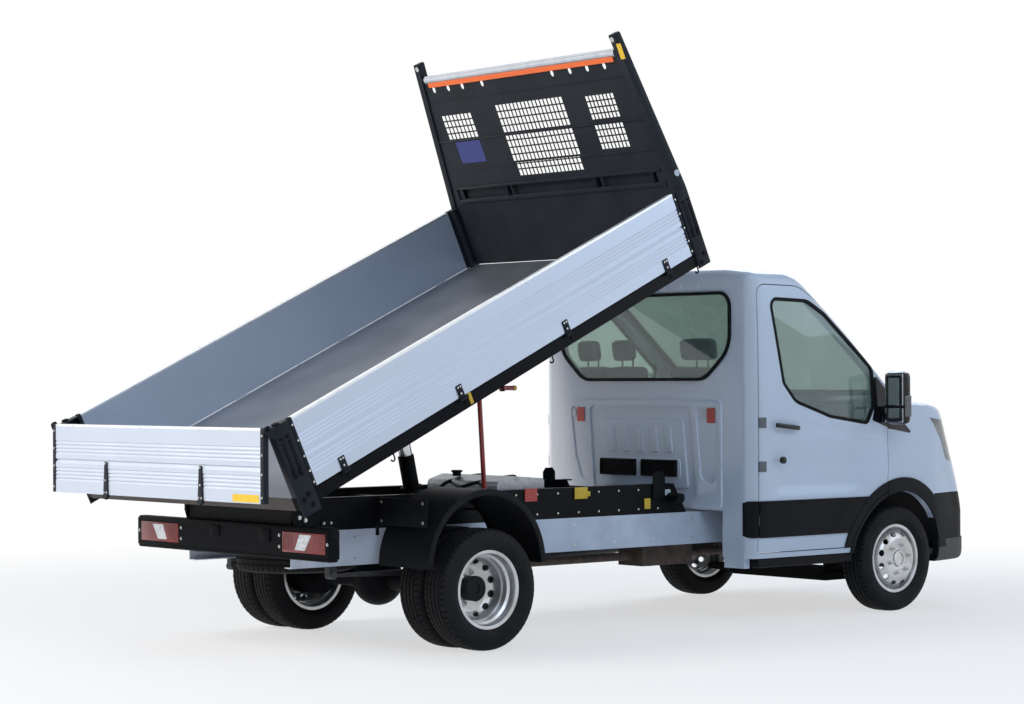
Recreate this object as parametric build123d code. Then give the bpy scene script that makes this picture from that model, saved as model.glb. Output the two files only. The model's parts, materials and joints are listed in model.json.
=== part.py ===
"""Light dump truck: a single cab on a ladder chassis with twin rear wheels and a tipping
dropside bed, drawn with the bed partly raised and its top-hung tailgate hanging open.

Millimetres. +X points forward, +Y to the left and +Z up. The ground is z = 0. Lengths along
the truck are given from the rear axle, and save() moves them so that the origin lies under
the middle of the truck. The bed is drawn in its own flat frame (u along it, v across, w up,
from the foot of the side panels' rear end) and then tipped.
"""
import os
from math import cos, radians, sin, tan
from build123d import *

os.makedirs("parts", exist_ok=True)

# ---------------------------------------------------------------- driving dimensions
wheelbase = 3504.0
front_tip = wheelbase + 1023.0      # foremost point of the bumper

# wheels
tyre_radius = 342.0
tyre_width = 196.0
rim_flange_radius = 221.0
rim_seat_radius = 206.0
rim_width = 152.0
disc_offset = 109.5         # wheel's middle to the disc's mounting face
front_wheel_y = 862.0
rear_outer_y = 930.0
hub_radius = 71.0
spindle_radius = 30.0
hub_clearance = 0.5
kingpin_y = 700.0
kingpin_half = 110.0
kingpin_gap = 0.5

# ladder frame and the tipper's sub-frame on it
rail_outer_y = 500.0
rail_flange = 60.0
rail_bottom = 480.0
rail_top = 680.0
rail_wall = 6.0
rail_rear = -985.0
rail_front = wheelbase + 456.0
sub_top = 862.0
sub_rear = -985.0
sub_front_low = wheelbase - 1464.0
sub_front_high = wheelbase - 1574.0

# bed
tip_now = 24.85             # degrees that the bed is raised by
bed_x = -1239.6
bed_z = 946.9
bed_length = 3096.0         # length of a side panel
bed_half_width = 1060.0
side_height = 400.0
panel_thickness = 29.0
panel_gap = 5.0
edge_rail_height = 75.0
runner_outer_y = 494.0
runner_width = 54.0
seat_gap = 5.0              # lowered bed over the sub-frame
floor_thickness = 4.0
rear_post_length = 118.0
front_post_length = 100.0
post_wall = 5.0
pivot_u = 250.0
pivot_w = -120.0
pivot_radius = 20.0
gate_hinge_u = -141.0
gate_hinge_w = 405.0
gate_above_hinge = 10.0
gate_height = 392.0
headboard_top = 1387.0
headboard_top_half = 938.0

# tipping cylinder, along its own axis from the trunnion
trunnion_x = 268.5
trunnion_z = 800.0
cylinder_lean = 12.5
eye_now = 691.0             # trunnion to eye pin as drawn
eye_folded = 173.0          # trunnion to eye pin with the bed down
stage_gap = 0.4
eye_radius = 35.0
eye_width = 60.0

# safety prop
prop_x = 353.0
prop_y = 555.0
prop_z = 830.0
prop_length = 705.0
prop_radius = 14.0

# cab
cab_rear = wheelbase - 1374.0
cab_wall = 45.0
glass_thickness = 6.0
skin_gap = 6.0              # shut line between two panels
sill_z = 402.0
floor_z = 690.0
floor_sheet = 30.0
door_rear_x = cab_rear + 73.0
door_front_x = wheelbase - 160.0
door_sill_z = 436.0
arch_radius = 436.0
arch_x = wheelbase - 4.0
roof_z = 2200.0
cowl_x = wheelbase + 308.0
bumper_rear = wheelbase + 353.0
grille_rear = wheelbase + 696.0
clear_x = front_tip + 500.0         # ahead of everything

# rear mudguards and light bar
guard_x = -25.0
guard_z = 478.0
guard_radius = 425.0
guard_wall = 6.0
guard_outer_y = 1028.0
guard_inner_y = 590.0
bar_x = -1050.0
bar_half = 940.0
bar_bottom = 540.0
bar_top = 724.0
bar_depth = 62.0


# ---------------------------------------------------------------- small tools
def block(x, y, z):
    """Box from three (low, high) pairs."""
    size = [high - low for low, high in (x, y, z)]
    middle = [(high + low) / 2 for low, high in (x, y, z)]
    return Pos(*middle) * Box(*size)


def outline(points):
    """Closed face from rows of (across, up, corner radius)."""
    count = len(points)
    starts, ends, middles = [], [], []
    for i, (x, y, r) in enumerate(points):
        here = Vector(x, y)
        to_last = (Vector(*points[i - 1][:2]) - here).normalized()
        to_next = (Vector(*points[(i + 1) % count][:2]) - here).normalized()
        if r == 0:
            starts.append(here)
            ends.append(here)
            middles.append(None)
            continue
        half_turn = radians(to_last.get_angle(to_next)) / 2
        cut = r / tan(half_turn)
        bisector = (to_last + to_next).normalized()
        starts.append(here + to_last * cut)
        ends.append(here + to_next * cut)
        middles.append(here + bisector * (r / sin(half_turn) - r))
    edges = []
    for i in range(count):
        if middles[i] is not None:
            edges.append(ThreePointArc(starts[i], middles[i], ends[i]))
        next_start = starts[(i + 1) % count]
        if (next_start - ends[i]).length > 0.001:
            edges.append(Line(ends[i], next_start))
    return Face(Wire(edges))


def from_front(rows):
    """Rows whose first value is given forward of the front axle."""
    return [(wheelbase + x, *rest) for x, *rest in rows]


def side_prism(points, y):
    """Solid whose side view is the outline (x, z, radius), between two y values."""
    face = Plane.XZ * outline(points)
    return Pos(0, y[1], 0) * extrude(face, y[1] - y[0], dir=(0, -1, 0))


def end_prism(points, x):
    """Solid whose end view is the outline (y, z, radius), between two x values."""
    face = Plane.YZ * outline(points)
    return Pos(x[0], 0, 0) * extrude(face, x[1] - x[0], dir=(1, 0, 0))


def plan_prism(points, z):
    """Solid whose plan is the outline (x, y, radius), between two z values."""
    return Pos(0, 0, z[0]) * extrude(outline(points), z[1] - z[0], dir=(0, 0, 1))


def cross_bar(x, z, radius, y):
    """Round bar across the truck between two y values."""
    return Pos(x, (y[0] + y[1]) / 2, z) * Rot(90, 0, 0) * Cylinder(radius, abs(y[1] - y[0]))


def post(x, y, z, radius):
    """Upright round bar between two z values."""
    return Pos(x, y, (z[0] + z[1]) / 2) * Cylinder(radius, z[1] - z[0])


def rod(start, end, radius):
    """Round bar from one point to another."""
    start, end = Vector(*start), Vector(*end)
    along = end - start
    return Plane(origin=start, z_dir=along) * Pos(0, 0, along.length / 2) * Cylinder(radius, along.length)


def mirrored(piece):
    return piece.mirror(Plane.XZ)


def both(piece):
    """The piece and its mirror image on the other side."""
    return [piece, mirrored(piece)]


def tipped(piece):
    """From the bed's own frame to where the raised bed carries it."""
    return Location((bed_x, 0, bed_z), (0, -tip_now, 0)) * piece


def tipped_point(u, w):
    angle = radians(tip_now)
    return bed_x + u * cos(angle) - w * sin(angle), bed_z + u * sin(angle) + w * cos(angle)


def solids_of(pieces):
    found = []
    for piece in pieces if isinstance(pieces, (list, tuple)) else [pieces]:
        found.extend(piece.solids())
    return found


def save(name, pieces):
    """One STEP file; lengths along the truck are moved to the middle of the truck."""
    rear_tip = tipped_point(gate_hinge_u, gate_hinge_w)[0] - panel_thickness / 2
    shift = Location((-(front_tip + rear_tip) / 2, 0, 0))
    moved = [shift * solid for solid in solids_of(pieces)]
    shape = moved[0] if len(moved) == 1 else Compound(children=moved)
    export_step(shape, f"parts/{name}.step")
    print(f"{name:24s} {len(moved):3d} solids {sum(s.volume for s in moved) / 1e6:10.2f} dm3")


# ---------------------------------------------------------------- ladder frame
def channel(x, z, wall, side_y=rail_outer_y, flange=rail_flange):
    """Right-hand rail, a channel that is open towards the middle of the truck."""
    outer = block(x, (-side_y, -side_y + flange), z)
    inner = block((x[0] - 1, x[1] + 1), (-side_y + wall, -side_y + flange + 1), (z[0] + wall, z[1] - wall))
    return outer - inner


def cross_member(x, z, half=rail_outer_y - rail_wall, wall=rail_wall):
    """Channel across the frame, open to the rear."""
    outer = block(x, (-half, half), z)
    return outer - block((x[0] - 1, x[1] - wall), (-half - 1, half + 1), (z[0] + wall, z[1] - wall))


frame_bar_width = 40.0
frame_bars_x = (rail_rear, -220.0, 620.0, 1420.0, wheelbase - 1264, wheelbase - 724, rail_front - 60)
frame = channel((rail_rear, rail_front), (rail_bottom, rail_top), rail_wall)
frame = frame + mirrored(frame)
for x in frame_bars_x:
    frame = frame + cross_member((x, x + frame_bar_width), (rail_top - 130, rail_top - 20))
spare_x = -590.0
spare_bar_low = rail_top - 36
spare_carrier = cross_member((spare_x - 25, spare_x + 25), (spare_bar_low, rail_top))
frame = frame + spare_carrier
# socket for the screw-in towing eye, on the front cross-member
tow_radius = 8.5
tow_y, tow_z = -300.0, rail_top - 100
tow_boss = Pos(rail_front, tow_y, tow_z) * Rot(0, 90, 0) * (Cylinder(20, 70) - Cylinder(tow_radius, 72))
frame = frame + (tow_boss & block((rail_front - 30, rail_front + 40), (-rail_outer_y, 0),
                                  (rail_bottom, rail_top)))
save("frame_rails", frame)

# ---------------------------------------------------------------- tipper sub-frame
sub_wall = 8.0
sub_rail = channel((sub_rear, sub_front_low), (rail_top, sub_top), sub_wall)
nose_cut = side_prism([(sub_front_low, rail_top, 0), (sub_front_low + 200, rail_top, 0),
                       (sub_front_low + 200, sub_top + 1, 0), (sub_front_high, sub_top + 1, 0)],
                      (-rail_outer_y - 1, rail_outer_y + 1))
sub_frame = sub_rail + mirrored(sub_rail) - nose_cut
sub_bars_x = (sub_rear, -420.0, 130.0, 520.0, 1060.0, 1500.0, sub_front_high - 70)
sub_bar_width = 50.0
for x in sub_bars_x:
    bar = block((x, x + sub_bar_width), (-rail_outer_y + sub_wall, rail_outer_y - sub_wall),
                (rail_top + 20, sub_top - 40))
    sub_frame = sub_frame + bar
# trunnion cheeks between the bars in front of and behind the cylinder
cheek_y = (78.0, 92.0)
cheek = block((sub_bars_x[2] + sub_bar_width, sub_bars_x[3]), cheek_y, (trunnion_z - 50, trunnion_z + 20))
cheek = cheek - cross_bar(trunnion_x, trunnion_z, pivot_radius + hub_clearance,
                          (cheek_y[0] - 1, cheek_y[1] + 1))
sub_frame = sub_frame + cheek + mirrored(cheek)
# pivot ears outside the runners
pivot_x, pivot_z = tipped_point(pivot_u, pivot_w)
ear_y = (508.0, 526.0)
ear = side_prism([(pivot_x - 15, rail_top + 20, 0), (pivot_x + 130, rail_top + 20, 0),
                  (pivot_x + 130, sub_top - 20, 0), (pivot_x + 36, pivot_z + 34, 30),
                  (pivot_x - 36, pivot_z + 34, 30), (pivot_x - 38, rail_top + 90, 0)],
                 (-ear_y[1], -ear_y[0]))
ear = ear + block((pivot_x - 10, pivot_x + 120), (-ear_y[0], -rail_outer_y), (rail_top + 30, sub_top - 30))
ear = ear - cross_bar(pivot_x, pivot_z, pivot_radius + hub_clearance, (-ear_y[1] - 1, -ear_y[0] + 1))
# guide plates that steer the lowered bed on to the sub-frame
guide_x = sub_front_high - 186
guide = side_prism([(guide_x, rail_top + 90, 0), (guide_x + 100, rail_top + 90, 0), (guide_x + 100, 912, 0),
                    (guide_x + 78, 939, 10), (guide_x + 22, 939, 10), (guide_x, 912, 0)],
                   (-rail_outer_y - 14, -rail_outer_y - 6))
guide = guide + block((guide_x + 10, guide_x + 90), (-rail_outer_y - 6, -rail_outer_y),
                      (rail_top + 100, sub_top - 10))
# prop's hinge bracket
prop_lug = block((prop_x - 30, prop_x + 30), (-prop_y + prop_radius + 3, -rail_outer_y),
                 (prop_z - 45, prop_z + 26))
prop_pin = cross_bar(prop_x, prop_z, 8, (-prop_y - prop_radius - 6, -prop_y + prop_radius + 4))
for piece in (ear, guide):
    sub_frame = sub_frame + piece + mirrored(piece)
sub_frame = sub_frame + prop_lug + prop_pin
# stub tube with a round end near the cab
stub = cross_bar(sub_front_high - 40, rail_top + 95, 30, (-rail_outer_y - 110, -rail_outer_y + 1))
sub_frame = sub_frame + stub
save("sub_frame", sub_frame)

# ---------------------------------------------------------------- wheels
tyre_section = [(-rim_width / 2 + 6.3, rim_seat_radius + 0.3), (-rim_width / 2 + 6.3, rim_flange_radius),
                (-tyre_width / 2 + 5, 240), (-tyre_width / 2, 274), (-tyre_width / 2 + 6, 316),
                (-tyre_width / 2 + 22, 336), (-tyre_width / 2 + 44, tyre_radius)]
tyre_section = tyre_section + [(-s, r) for s, r in reversed(tyre_section)]
rim_half = rim_width / 2
rim_section = [(-rim_half, rim_flange_radius), (-rim_half + 6, rim_flange_radius),
               (-rim_half + 6, rim_seat_radius),
               (-24, rim_seat_radius - 3), (-14, 189), (26, 189), (36, rim_seat_radius - 3),
               (rim_half - 6, rim_seat_radius), (rim_half - 6, rim_flange_radius),
               (rim_half, rim_flange_radius),
               (rim_half - 2, 200), (40, 196), (30, 182), (-18, 182), (-28, 196), (-rim_half + 2, 200)]
disc_section = [(24, 185), (58, 183), (92, 166), (disc_offset - 6, 144), (disc_offset, 132),
                (disc_offset, 40),
                (disc_offset - 10, 40), (disc_offset - 10, 130), (disc_offset - 17, 138), (84, 156),
                (52, 173),
                (24, 175)]
hand_hole_count = 12
hand_hole_radius = 17.0
hand_hole_circle = 158.0


def turned(section):
    """Solid of revolution about the wheel's axle (Y); rows are (outward, radius)."""
    corners = [Vector(radius, 0, outward) for outward, radius in section]
    face = Face(Wire.make_polygon(corners, close=True))
    return Rot(-90, 0, 0) * revolve(face, Axis.Z, 360)


def rim(disc_side):
    """Rim with its disc pushed to one side: 1 outwards, -1 inwards (right-hand wheel)."""
    disc = turned(disc_section)
    for i in range(hand_hole_count):
        hole = Pos(hand_hole_circle, disc_offset / 2 + 40, 0) * Rot(90, 0, 0) * Cylinder(hand_hole_radius,
                                                                                         130)
        disc = disc - Rot(0, 360 / hand_hole_count * i, 0) * hole
    wheel = turned(rim_section) + disc
    return wheel if disc_side > 0 else Rot(0, 0, 180) * wheel


def hub(y, radius, x=0.0):
    """Hub drum with the axle's bore, between two distances from the truck's middle."""
    drum = cross_bar(x, tyre_radius, radius, (-y[1], -y[0]))
    return drum - cross_bar(x, tyre_radius, spindle_radius + hub_clearance, (-y[1] + 15, -y[0] + 1))


def wheel_at(piece, x, y):
    """Right-hand wheel piece, its outward side facing -Y, put at its place."""
    return Pos(x, -y, tyre_radius) * Rot(0, 0, 180) * piece


# turned() has outward along +Y, so a right-hand wheel is turned half round about Z
rear_inner_y = rear_outer_y - 2 * disc_offset
tyre = turned(tyre_section)
front_tyre = wheel_at(tyre, wheelbase, front_wheel_y)
front_hub_y = (front_wheel_y + 20, front_wheel_y + disc_offset + 6)
front_rim = wheel_at(rim(1), wheelbase, front_wheel_y) + hub(front_hub_y, 52, wheelbase)
rear_tyres = [wheel_at(tyre, 0, y) for y in (rear_outer_y, rear_inner_y)]
mating_y = rear_outer_y - disc_offset
rear_hub_y = (mating_y - 50, mating_y + 78)
rear_rims = wheel_at(rim(-1), 0, rear_outer_y) + wheel_at(rim(1), 0, rear_inner_y) + hub(rear_hub_y,
                                                                                         hub_radius)
for side, place in (("right", lambda piece: piece), ("left", mirrored)):
    save(f"front_{side}_tyre", place(front_tyre))
    save(f"front_{side}_rim", place(front_rim))
    save(f"rear_{side}_tyres", [place(piece) for piece in rear_tyres])
    save(f"rear_{side}_rims", place(rear_rims))

# ---------------------------------------------------------------- axles, springs, drive
axle_radius = 52.0
rear_spindle_end = rear_hub_y[1] - 17
rear_axle = cross_bar(0, tyre_radius, axle_radius, (-560, 560))
rear_axle = rear_axle + cross_bar(0, tyre_radius, spindle_radius, (-rear_spindle_end, rear_spindle_end))
rear_axle = rear_axle + Pos(0, 0, tyre_radius) * Sphere(150)
drum_inner = rear_hub_y[0] - 8
for side in (-1, 1):
    rear_axle = rear_axle + cross_bar(0, tyre_radius, 120, (side * 560, side * drum_inner))
spring_y = (452.0, 512.0)
spring_eye_x = (-700.0, 640.0)
spring_eye_z = 430.0
saddle = block((-55, 55), spring_y, (tyre_radius + 30, tyre_radius + axle_radius + 4))
rear_axle = rear_axle + saddle + mirrored(saddle)
save("rear_axle", rear_axle)

spring_foot = tyre_radius + axle_radius + 4
leaf_depth = 13.0
spring = side_prism([(spring_eye_x[0], spring_eye_z - 8, 0), (-60, spring_foot, 0), (60, spring_foot, 0),
                     (spring_eye_x[1], spring_eye_z - 8, 0), (spring_eye_x[1], spring_eye_z + 8, 0),
                     (60, spring_foot + 3 * leaf_depth, 0), (-60, spring_foot + 3 * leaf_depth, 0),
                     (spring_eye_x[0], spring_eye_z + 8, 0)], spring_y)
for x in spring_eye_x:
    spring = spring + cross_bar(x, spring_eye_z, 22, spring_y)
    spring = spring + block((x - 25, x + 25), (spring_y[0] + 5, spring_y[1] - 14),
                            (spring_eye_z, rail_bottom))
save("rear_springs", both(spring))

shaft_rear = (150.0, 0.0, 354.0)
shaft_front = (wheelbase - 544, 0.0, 500.0)
propshaft = rod(shaft_rear, shaft_front, 36)
save("propshaft", propshaft)

knuckle_hub_y = front_wheel_y + 10
knuckle = cross_bar(wheelbase, tyre_radius, spindle_radius, (-(front_hub_y[1] - 17), -knuckle_hub_y + 10))
knuckle = knuckle + cross_bar(wheelbase, tyre_radius, 62, (-knuckle_hub_y, -kingpin_y + 5))
knuckle = knuckle + post(wheelbase, -kingpin_y, (tyre_radius - kingpin_half, tyre_radius + kingpin_half), 34)
for side, place in (("right", lambda piece: piece), ("left", mirrored)):
    save(f"knuckle_{side}", place(knuckle))

# front cross-beam, lower arms and struts
arm_depth = 38.0
arm_z = tyre_radius - kingpin_half - kingpin_gap - arm_depth
front_axle = block((wheelbase - 110, wheelbase + 110), (-430, 430), (arm_z - 20, arm_z + 60))
arm = plan_prism([(wheelbase - 160, -400, 0), (wheelbase + 160, -400, 0),
                  (wheelbase + 45, -kingpin_y - 30, 20),
                  (wheelbase - 45, -kingpin_y - 30, 20)], (arm_z, arm_z + arm_depth))
strut = post(wheelbase, -kingpin_y, (tyre_radius + kingpin_half + kingpin_gap, 940), 30)
strut = strut + block((wheelbase - 60, wheelbase + 60), (-kingpin_y - 60, -rail_outer_y), (900, 940))
strut = strut + block((wheelbase - 60, wheelbase + 60), (-rail_outer_y - 8, -rail_outer_y),
                      (rail_bottom, 940))
hanger = block((wheelbase - 100, wheelbase + 100), (-430, -400), (arm_z + 60, rail_bottom))
hanger = hanger + block((wheelbase - 100, wheelbase + 100), (-rail_outer_y + rail_wall, -400),
                        (rail_bottom - 8, rail_bottom))
for piece in (arm, hanger):
    front_axle = front_axle + piece + mirrored(piece)
save("front_axle", [front_axle] + both(strut))

engine = block((wheelbase - 154, wheelbase + 356), (-250, 250), (440, 900))
engine = engine + block((shaft_front[0] + 2, wheelbase - 154), (-150, 150), (440, 640))
save("engine_block", engine)

# ---------------------------------------------------------------- exhaust, tank, spare wheel
exhaust_y = -300.0
silencer_x = (cab_rear - 380, cab_rear + 50)
silencer = block(silencer_x, (exhaust_y - 110, exhaust_y + 110), (350, 470))
exhaust = silencer + rod((silencer_x[1], exhaust_y, 410), (wheelbase - 354, exhaust_y, 410), 26)
exhaust = exhaust + rod((silencer_x[0], exhaust_y, 410), (720, exhaust_y, 410), 26)
exhaust = exhaust + block((cab_rear - 170, cab_rear - 140), (exhaust_y - 100, exhaust_y - 90),
                          (470, rail_bottom + 1))
exhaust = exhaust + block((cab_rear - 200, cab_rear - 110), (-rail_outer_y + 5, exhaust_y - 90),
                          (470, rail_bottom))
save("exhaust", exhaust)

tank_x = (cab_rear - 830, cab_rear - 140)
tank = side_prism([(tank_x[0], 385, 40), (tank_x[1], 385, 40), (tank_x[1], 640, 40), (tank_x[0], 640, 40)],
                  (rail_outer_y, rail_outer_y + 250))
save("fuel_tank", tank)

spare_bottom = 428.0
spare_middle = spare_bottom + tyre_width / 2
spare = Pos(spare_x, 0, spare_middle) * Rot(90, 0, 0) * turned(tyre_section)
spare_rim = Pos(spare_x, 0, spare_middle) * Rot(90, 0, 0) * (turned(rim_section) + turned(disc_section))
hoist_plate_z = spare_middle + disc_offset - 10 - 0.3
hoist = post(spare_x, 0, (hoist_plate_z - 8, spare_bar_low), 12)
hoist = hoist + post(spare_x, 0, (hoist_plate_z - 8, hoist_plate_z), 70)
save("spare_tyre", spare)
save("spare_rim", spare_rim)
save("spare_hoist", hoist)

# ---------------------------------------------------------------- rear mudguards, light bar
def half_ring(x, z, outer, inner, y):
    """Upper half of a ring across the truck."""
    ring = cross_bar(x, z, outer, y) - cross_bar(x, z, inner, (y[0] - 1, y[1] + 1))
    return ring - block((x - outer - 1, x + outer + 1), (min(y) - 2, max(y) + 2), (z - outer - 1, z))


guard = half_ring(guard_x, guard_z, guard_radius, guard_radius - guard_wall, (-guard_outer_y, -guard_inner_y))
lip = half_ring(guard_x, guard_z, guard_radius, guard_radius - 34, (-guard_outer_y - 4, -guard_outer_y + 4))
sheet_flange = block((-402, -380), (-rail_outer_y - 6, -rail_outer_y), (640, 850))
stay_x = (-330.0, 260.0)
guard = guard + lip + block((-408, -402), (-guard_outer_y + 60, -rail_outer_y), (700, 855)) + sheet_flange
for x in stay_x:
    guard = guard + block((x - 20, x + 20), (-guard_inner_y - 4, -rail_outer_y), (760, 772))
save("rear_mudguards", both(guard))

bar_x_front = bar_x + bar_depth
lamp_y = (511.0, 905.0)
lamp_z = (bar_bottom + 38, bar_top - 30)
light_bar = plan_prism([(bar_x, -bar_half, 12), (bar_x, bar_half, 12), (bar_x_front, bar_half, 12),
                        (bar_x_front, -bar_half, 12)], (bar_bottom, bar_top))
lamp_pocket = block((bar_x - 1, bar_x + 40), lamp_y, lamp_z)
light_bar = light_bar - lamp_pocket - mirrored(lamp_pocket)
bracket = block((bar_x_front, rail_rear + 70), (-rail_outer_y - 10, -rail_outer_y),
                (bar_bottom + 20, bar_top - 50))
light_bar = light_bar + bracket + mirrored(bracket)
save("rear_light_bar", light_bar)
lamp = block((bar_x - 4, bar_x + 40), (lamp_y[0] + 0.3, lamp_y[1] - 0.3), (lamp_z[0] + 0.3, lamp_z[1] - 0.3))
save("tail_lamps", both(lamp))

# hydraulic power pack between the rails
pack_x = (640.0, 1010.0)
pack_shell = side_prism([(pack_x[0], rail_top + 30, 0), (pack_x[1], rail_top + 30, 0), (pack_x[1], 915, 20),
                         (pack_x[0] + 120, 935, 30), (pack_x[0], 900, 30)], (-330, 330))
pack_foot = block((sub_bars_x[3] + sub_bar_width, sub_bars_x[4]), (-300, 300), (rail_top + 22, rail_top + 30))
save("power_pack", pack_shell + pack_foot)

# ---------------------------------------------------------------- cab forms
screen_run = 0.945          # the windscreen's rise for each unit that it leans back
plan_rows = [(cab_rear, 0, 0), (cab_rear, 898, 0), (cab_rear + 85, 985, 120)]
plan_rows = plan_rows + from_front([(-804, 1032, 900), (-104, 1024, 900), (356, 960, 500), (793, 850, 300),
                                    (986, 610, 300)])
plan_rows = plan_rows + [(front_tip, 300, 600), (front_tip, 0, 0)]
end_rows = [(0, 280, 0), (930, 280, 60), (968, 440, 200), (1032, 1020, 500), (1020, 1300, 700),
            (962, 2080, 300),
            (945, 2165, 75), (700, 2198, 400), (0, roof_z, 0)]
side_rows = from_front([(936, 280, 60), (1008, 380, 80), (1023, 600, 200), (996, 850, 200), (936, 1080, 150),
                        (726, 1235, 300), (336, 1350, 200), (-4, 1420, 0), (-1004, roof_z, 0)])
side_rows = [(cab_rear, 280, 0)] + side_rows + [(cab_rear, roof_z, 50)]


# plan that the nose's corners follow above the bumper, leaning back as they rise
corner_rows = [(cab_rear, 0, 0), (cab_rear, 1600, 0)]
corner_rows = corner_rows + from_front([(-54, 1600, 0), (793, 850, 250), (996, 610, 300), (1136, 300, 300),
                                        (1136, 0, 0)])
corner_lean = 0.36          # how far the corners draw back for each unit that they rise
corner_foot_z = 620.0


def full_plan(rows):
    """Left half followed by its mirror image, as one closed list."""
    return rows + [(x, -y, r) for x, y, r in reversed(rows[1:-1])]


def full_end(rows):
    return rows + [(-y, z, r) for y, z, r in reversed(rows[1:-1])]


def cab_form(inset, with_corners=True):
    """Closed outer form of the cab, drawn in by a wall's thickness."""
    plan = outline(full_plan(plan_rows))
    end = outline(full_end(end_rows))
    side = outline(side_rows)
    if inset:
        plan, end, side = (offset(face, amount=-inset, kind=Kind.INTERSECTION) for face in (plan, end, side))
    form = extrude(plan, 2400, dir=(0, 0, 1))
    form = form & extrude(Plane.YZ * end, clear_x, dir=(1, 0, 0))
    form = form & (Pos(0, 1200, 0) * extrude(Plane.XZ * side, 2400, dir=(0, -1, 0)))
    form = form - screen_cutter(inset)
    return form - corner_cutter(inset) if with_corners else form


screen_foot_x = wheelbase + 296.0
screen_foot_z = 1345.0
screen_bow_radius = 1807.0


def screen_cutter(inset):
    """Everything ahead of the curved, raked windscreen surface above its foot."""
    height = 1100
    back = inset * 1.35
    half = 1300
    bow_end = screen_foot_x - back - screen_bow_radius + (screen_bow_radius ** 2 - half ** 2) ** 0.5
    bow = ThreePointArc((bow_end, -half), (screen_foot_x - back, 0), (bow_end, half))
    front = [Line((bow_end, half), (clear_x, half)), Line((clear_x, half), (clear_x, -half)),
             Line((clear_x, -half), (bow_end, -half))]
    face = Face(Wire([bow] + front))
    rise = Vector(-height / screen_run, 0, height)
    return Pos(0, 0, screen_foot_z - inset) * extrude(face, rise.length, dir=rise)


def corner_cutter(inset):
    """Everything outside the nose's leaning corners."""
    height = 880
    face = outline(full_plan(corner_rows))
    if inset:
        face = offset(face, amount=-inset * 1.05, kind=Kind.INTERSECTION)
    rise = Vector(-height * corner_lean, 0, height)
    zone = block((wheelbase - 100, clear_x), (-1400, 1400), (corner_foot_z, corner_foot_z + height - 10))
    return zone - Pos(0, 0, corner_foot_z) * extrude(face, rise.length, dir=rise)


outer_form = cab_form(0)
inner_form = cab_form(cab_wall)
shell = outer_form - inner_form
glass_skin = cab_form(8) - cab_form(8 + glass_thickness)

wide = 1200.0
door_rows = [(door_rear_x, door_sill_z, 15), (door_rear_x, 2092, 60), (wheelbase - 944, 2085, 250),
             (wheelbase - 714, 1975, 120), (door_front_x, 1452, 30), (door_front_x, 700, 20),
             (wheelbase - 424, 560, 60), (wheelbase - 446, door_sill_z, 15)]
window_rows = from_front([(-1104, 1480, 60), (-1198, 2005, 50), (-864, 1995, 150), (-704, 1915, 80),
                          (-289, 1575, 60), (-289, 1330, 90), (-354, 1222, 40), (-704, 1270, 150),
                          (-1004, 1365, 120)])


def grown(rows, amount):
    """The outline drawn larger (or smaller) by a margin."""
    return offset(outline(rows), amount=amount, kind=Kind.INTERSECTION)


def side_cut(rows, y, amount=0.0):
    face = Plane.XZ * grown(rows, amount) if amount else Plane.XZ * outline(rows)
    return Pos(0, y[1], 0) * extrude(face, y[1] - y[0], dir=(0, -1, 0))


side_y = (-wide, -880.0)
door_hole = side_cut(door_rows, side_y, skin_gap / 2)
door_cut = side_cut(door_rows, side_y, -skin_gap / 2)
window_cut = side_cut(window_rows, side_y)
window_glass_cut = side_cut(window_rows, side_y, -0.3)
door = (shell & door_cut) - window_cut
wheel_arch = cross_bar(arch_x, tyre_radius, arch_radius, (-wide, -540))
door = door - cross_bar(arch_x, tyre_radius, arch_radius + 30, (-wide, -540))
door_glass = glass_skin & window_glass_cut

# rear window, wide at the top
rear_window_rows = [(0, 1503, 0), (559, 1503, 180), (783, 1692, 220), (783, 2045, 90), (0, 2045, 0)]
rear_window_rows = full_end(rear_window_rows)
rear_hole = end_prism(rear_window_rows, (cab_rear - 10, cab_rear + cab_wall + 10))
rear_glass_face = offset(outline(rear_window_rows), amount=-0.3)
rear_glass = Pos(cab_rear + 8, 0, 0) * extrude(Plane.YZ * rear_glass_face, glass_thickness, dir=(1, 0, 0))

# windscreen opening, a trapezium seen from ahead
screen_rows = full_end([(0, 1395, 0), (885, 1395, 60), (842, 2090, 60), (0, 2110, 0)])
screen_zone = (cab_rear + 170, wheelbase + 496)
screen_hole = end_prism(screen_rows, screen_zone)
screen_glass_face = offset(outline(screen_rows), amount=-0.3)
screen_glass_cut = extrude(Plane.YZ * screen_glass_face, screen_zone[1] - screen_zone[0], dir=(1, 0, 0))
screen_glass_cut = Pos(screen_zone[0], 0, 0) * screen_glass_cut
windscreen = glass_skin & screen_glass_cut

nose_top = 1320.0
behind_cab = cab_rear - 130
body_rear = shell - block((behind_cab, wheelbase + 420), (-wide, wide), (0, sill_z))
body_rear = body_rear - block((door_front_x - 0.3, clear_x), (-wide, wide), (0, nose_top))
body_rear = body_rear - block((cowl_x - skin_gap, clear_x), (-wide, wide), (0, 1500))
body_rear = body_rear - wheel_arch - mirrored(wheel_arch)
body_rear = body_rear - door_hole - mirrored(door_hole) - rear_hole - screen_hole
body_rear = body_rear - block((cab_rear - 1, door_front_x), (-705, 705), (0, floor_z))
back_split = block((behind_cab, door_rear_x - skin_gap / 2), (-wide, wide), (0, 2120))
roof_split = block((behind_cab, clear_x), (-wide, wide), (2120, 2400))
cab_back = body_rear & back_split
cab_roof = body_rear & roof_split
cab_sides = body_rear - back_split - roof_split
corner_leg = block((cab_rear, door_rear_x - skin_gap / 2), (-895, -720), (340, sill_z))
corner_leg = corner_leg & outer_form
save("cab_back", [cab_back + corner_leg + mirrored(corner_leg)])
save("cab_roof", cab_roof)
save("cab_sides", cab_sides)
for side, place in (("right", lambda piece: piece), ("left", mirrored)):
    save(f"door_{side}", place(door))
    save(f"door_{side}_glass", place(door_glass))
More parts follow.
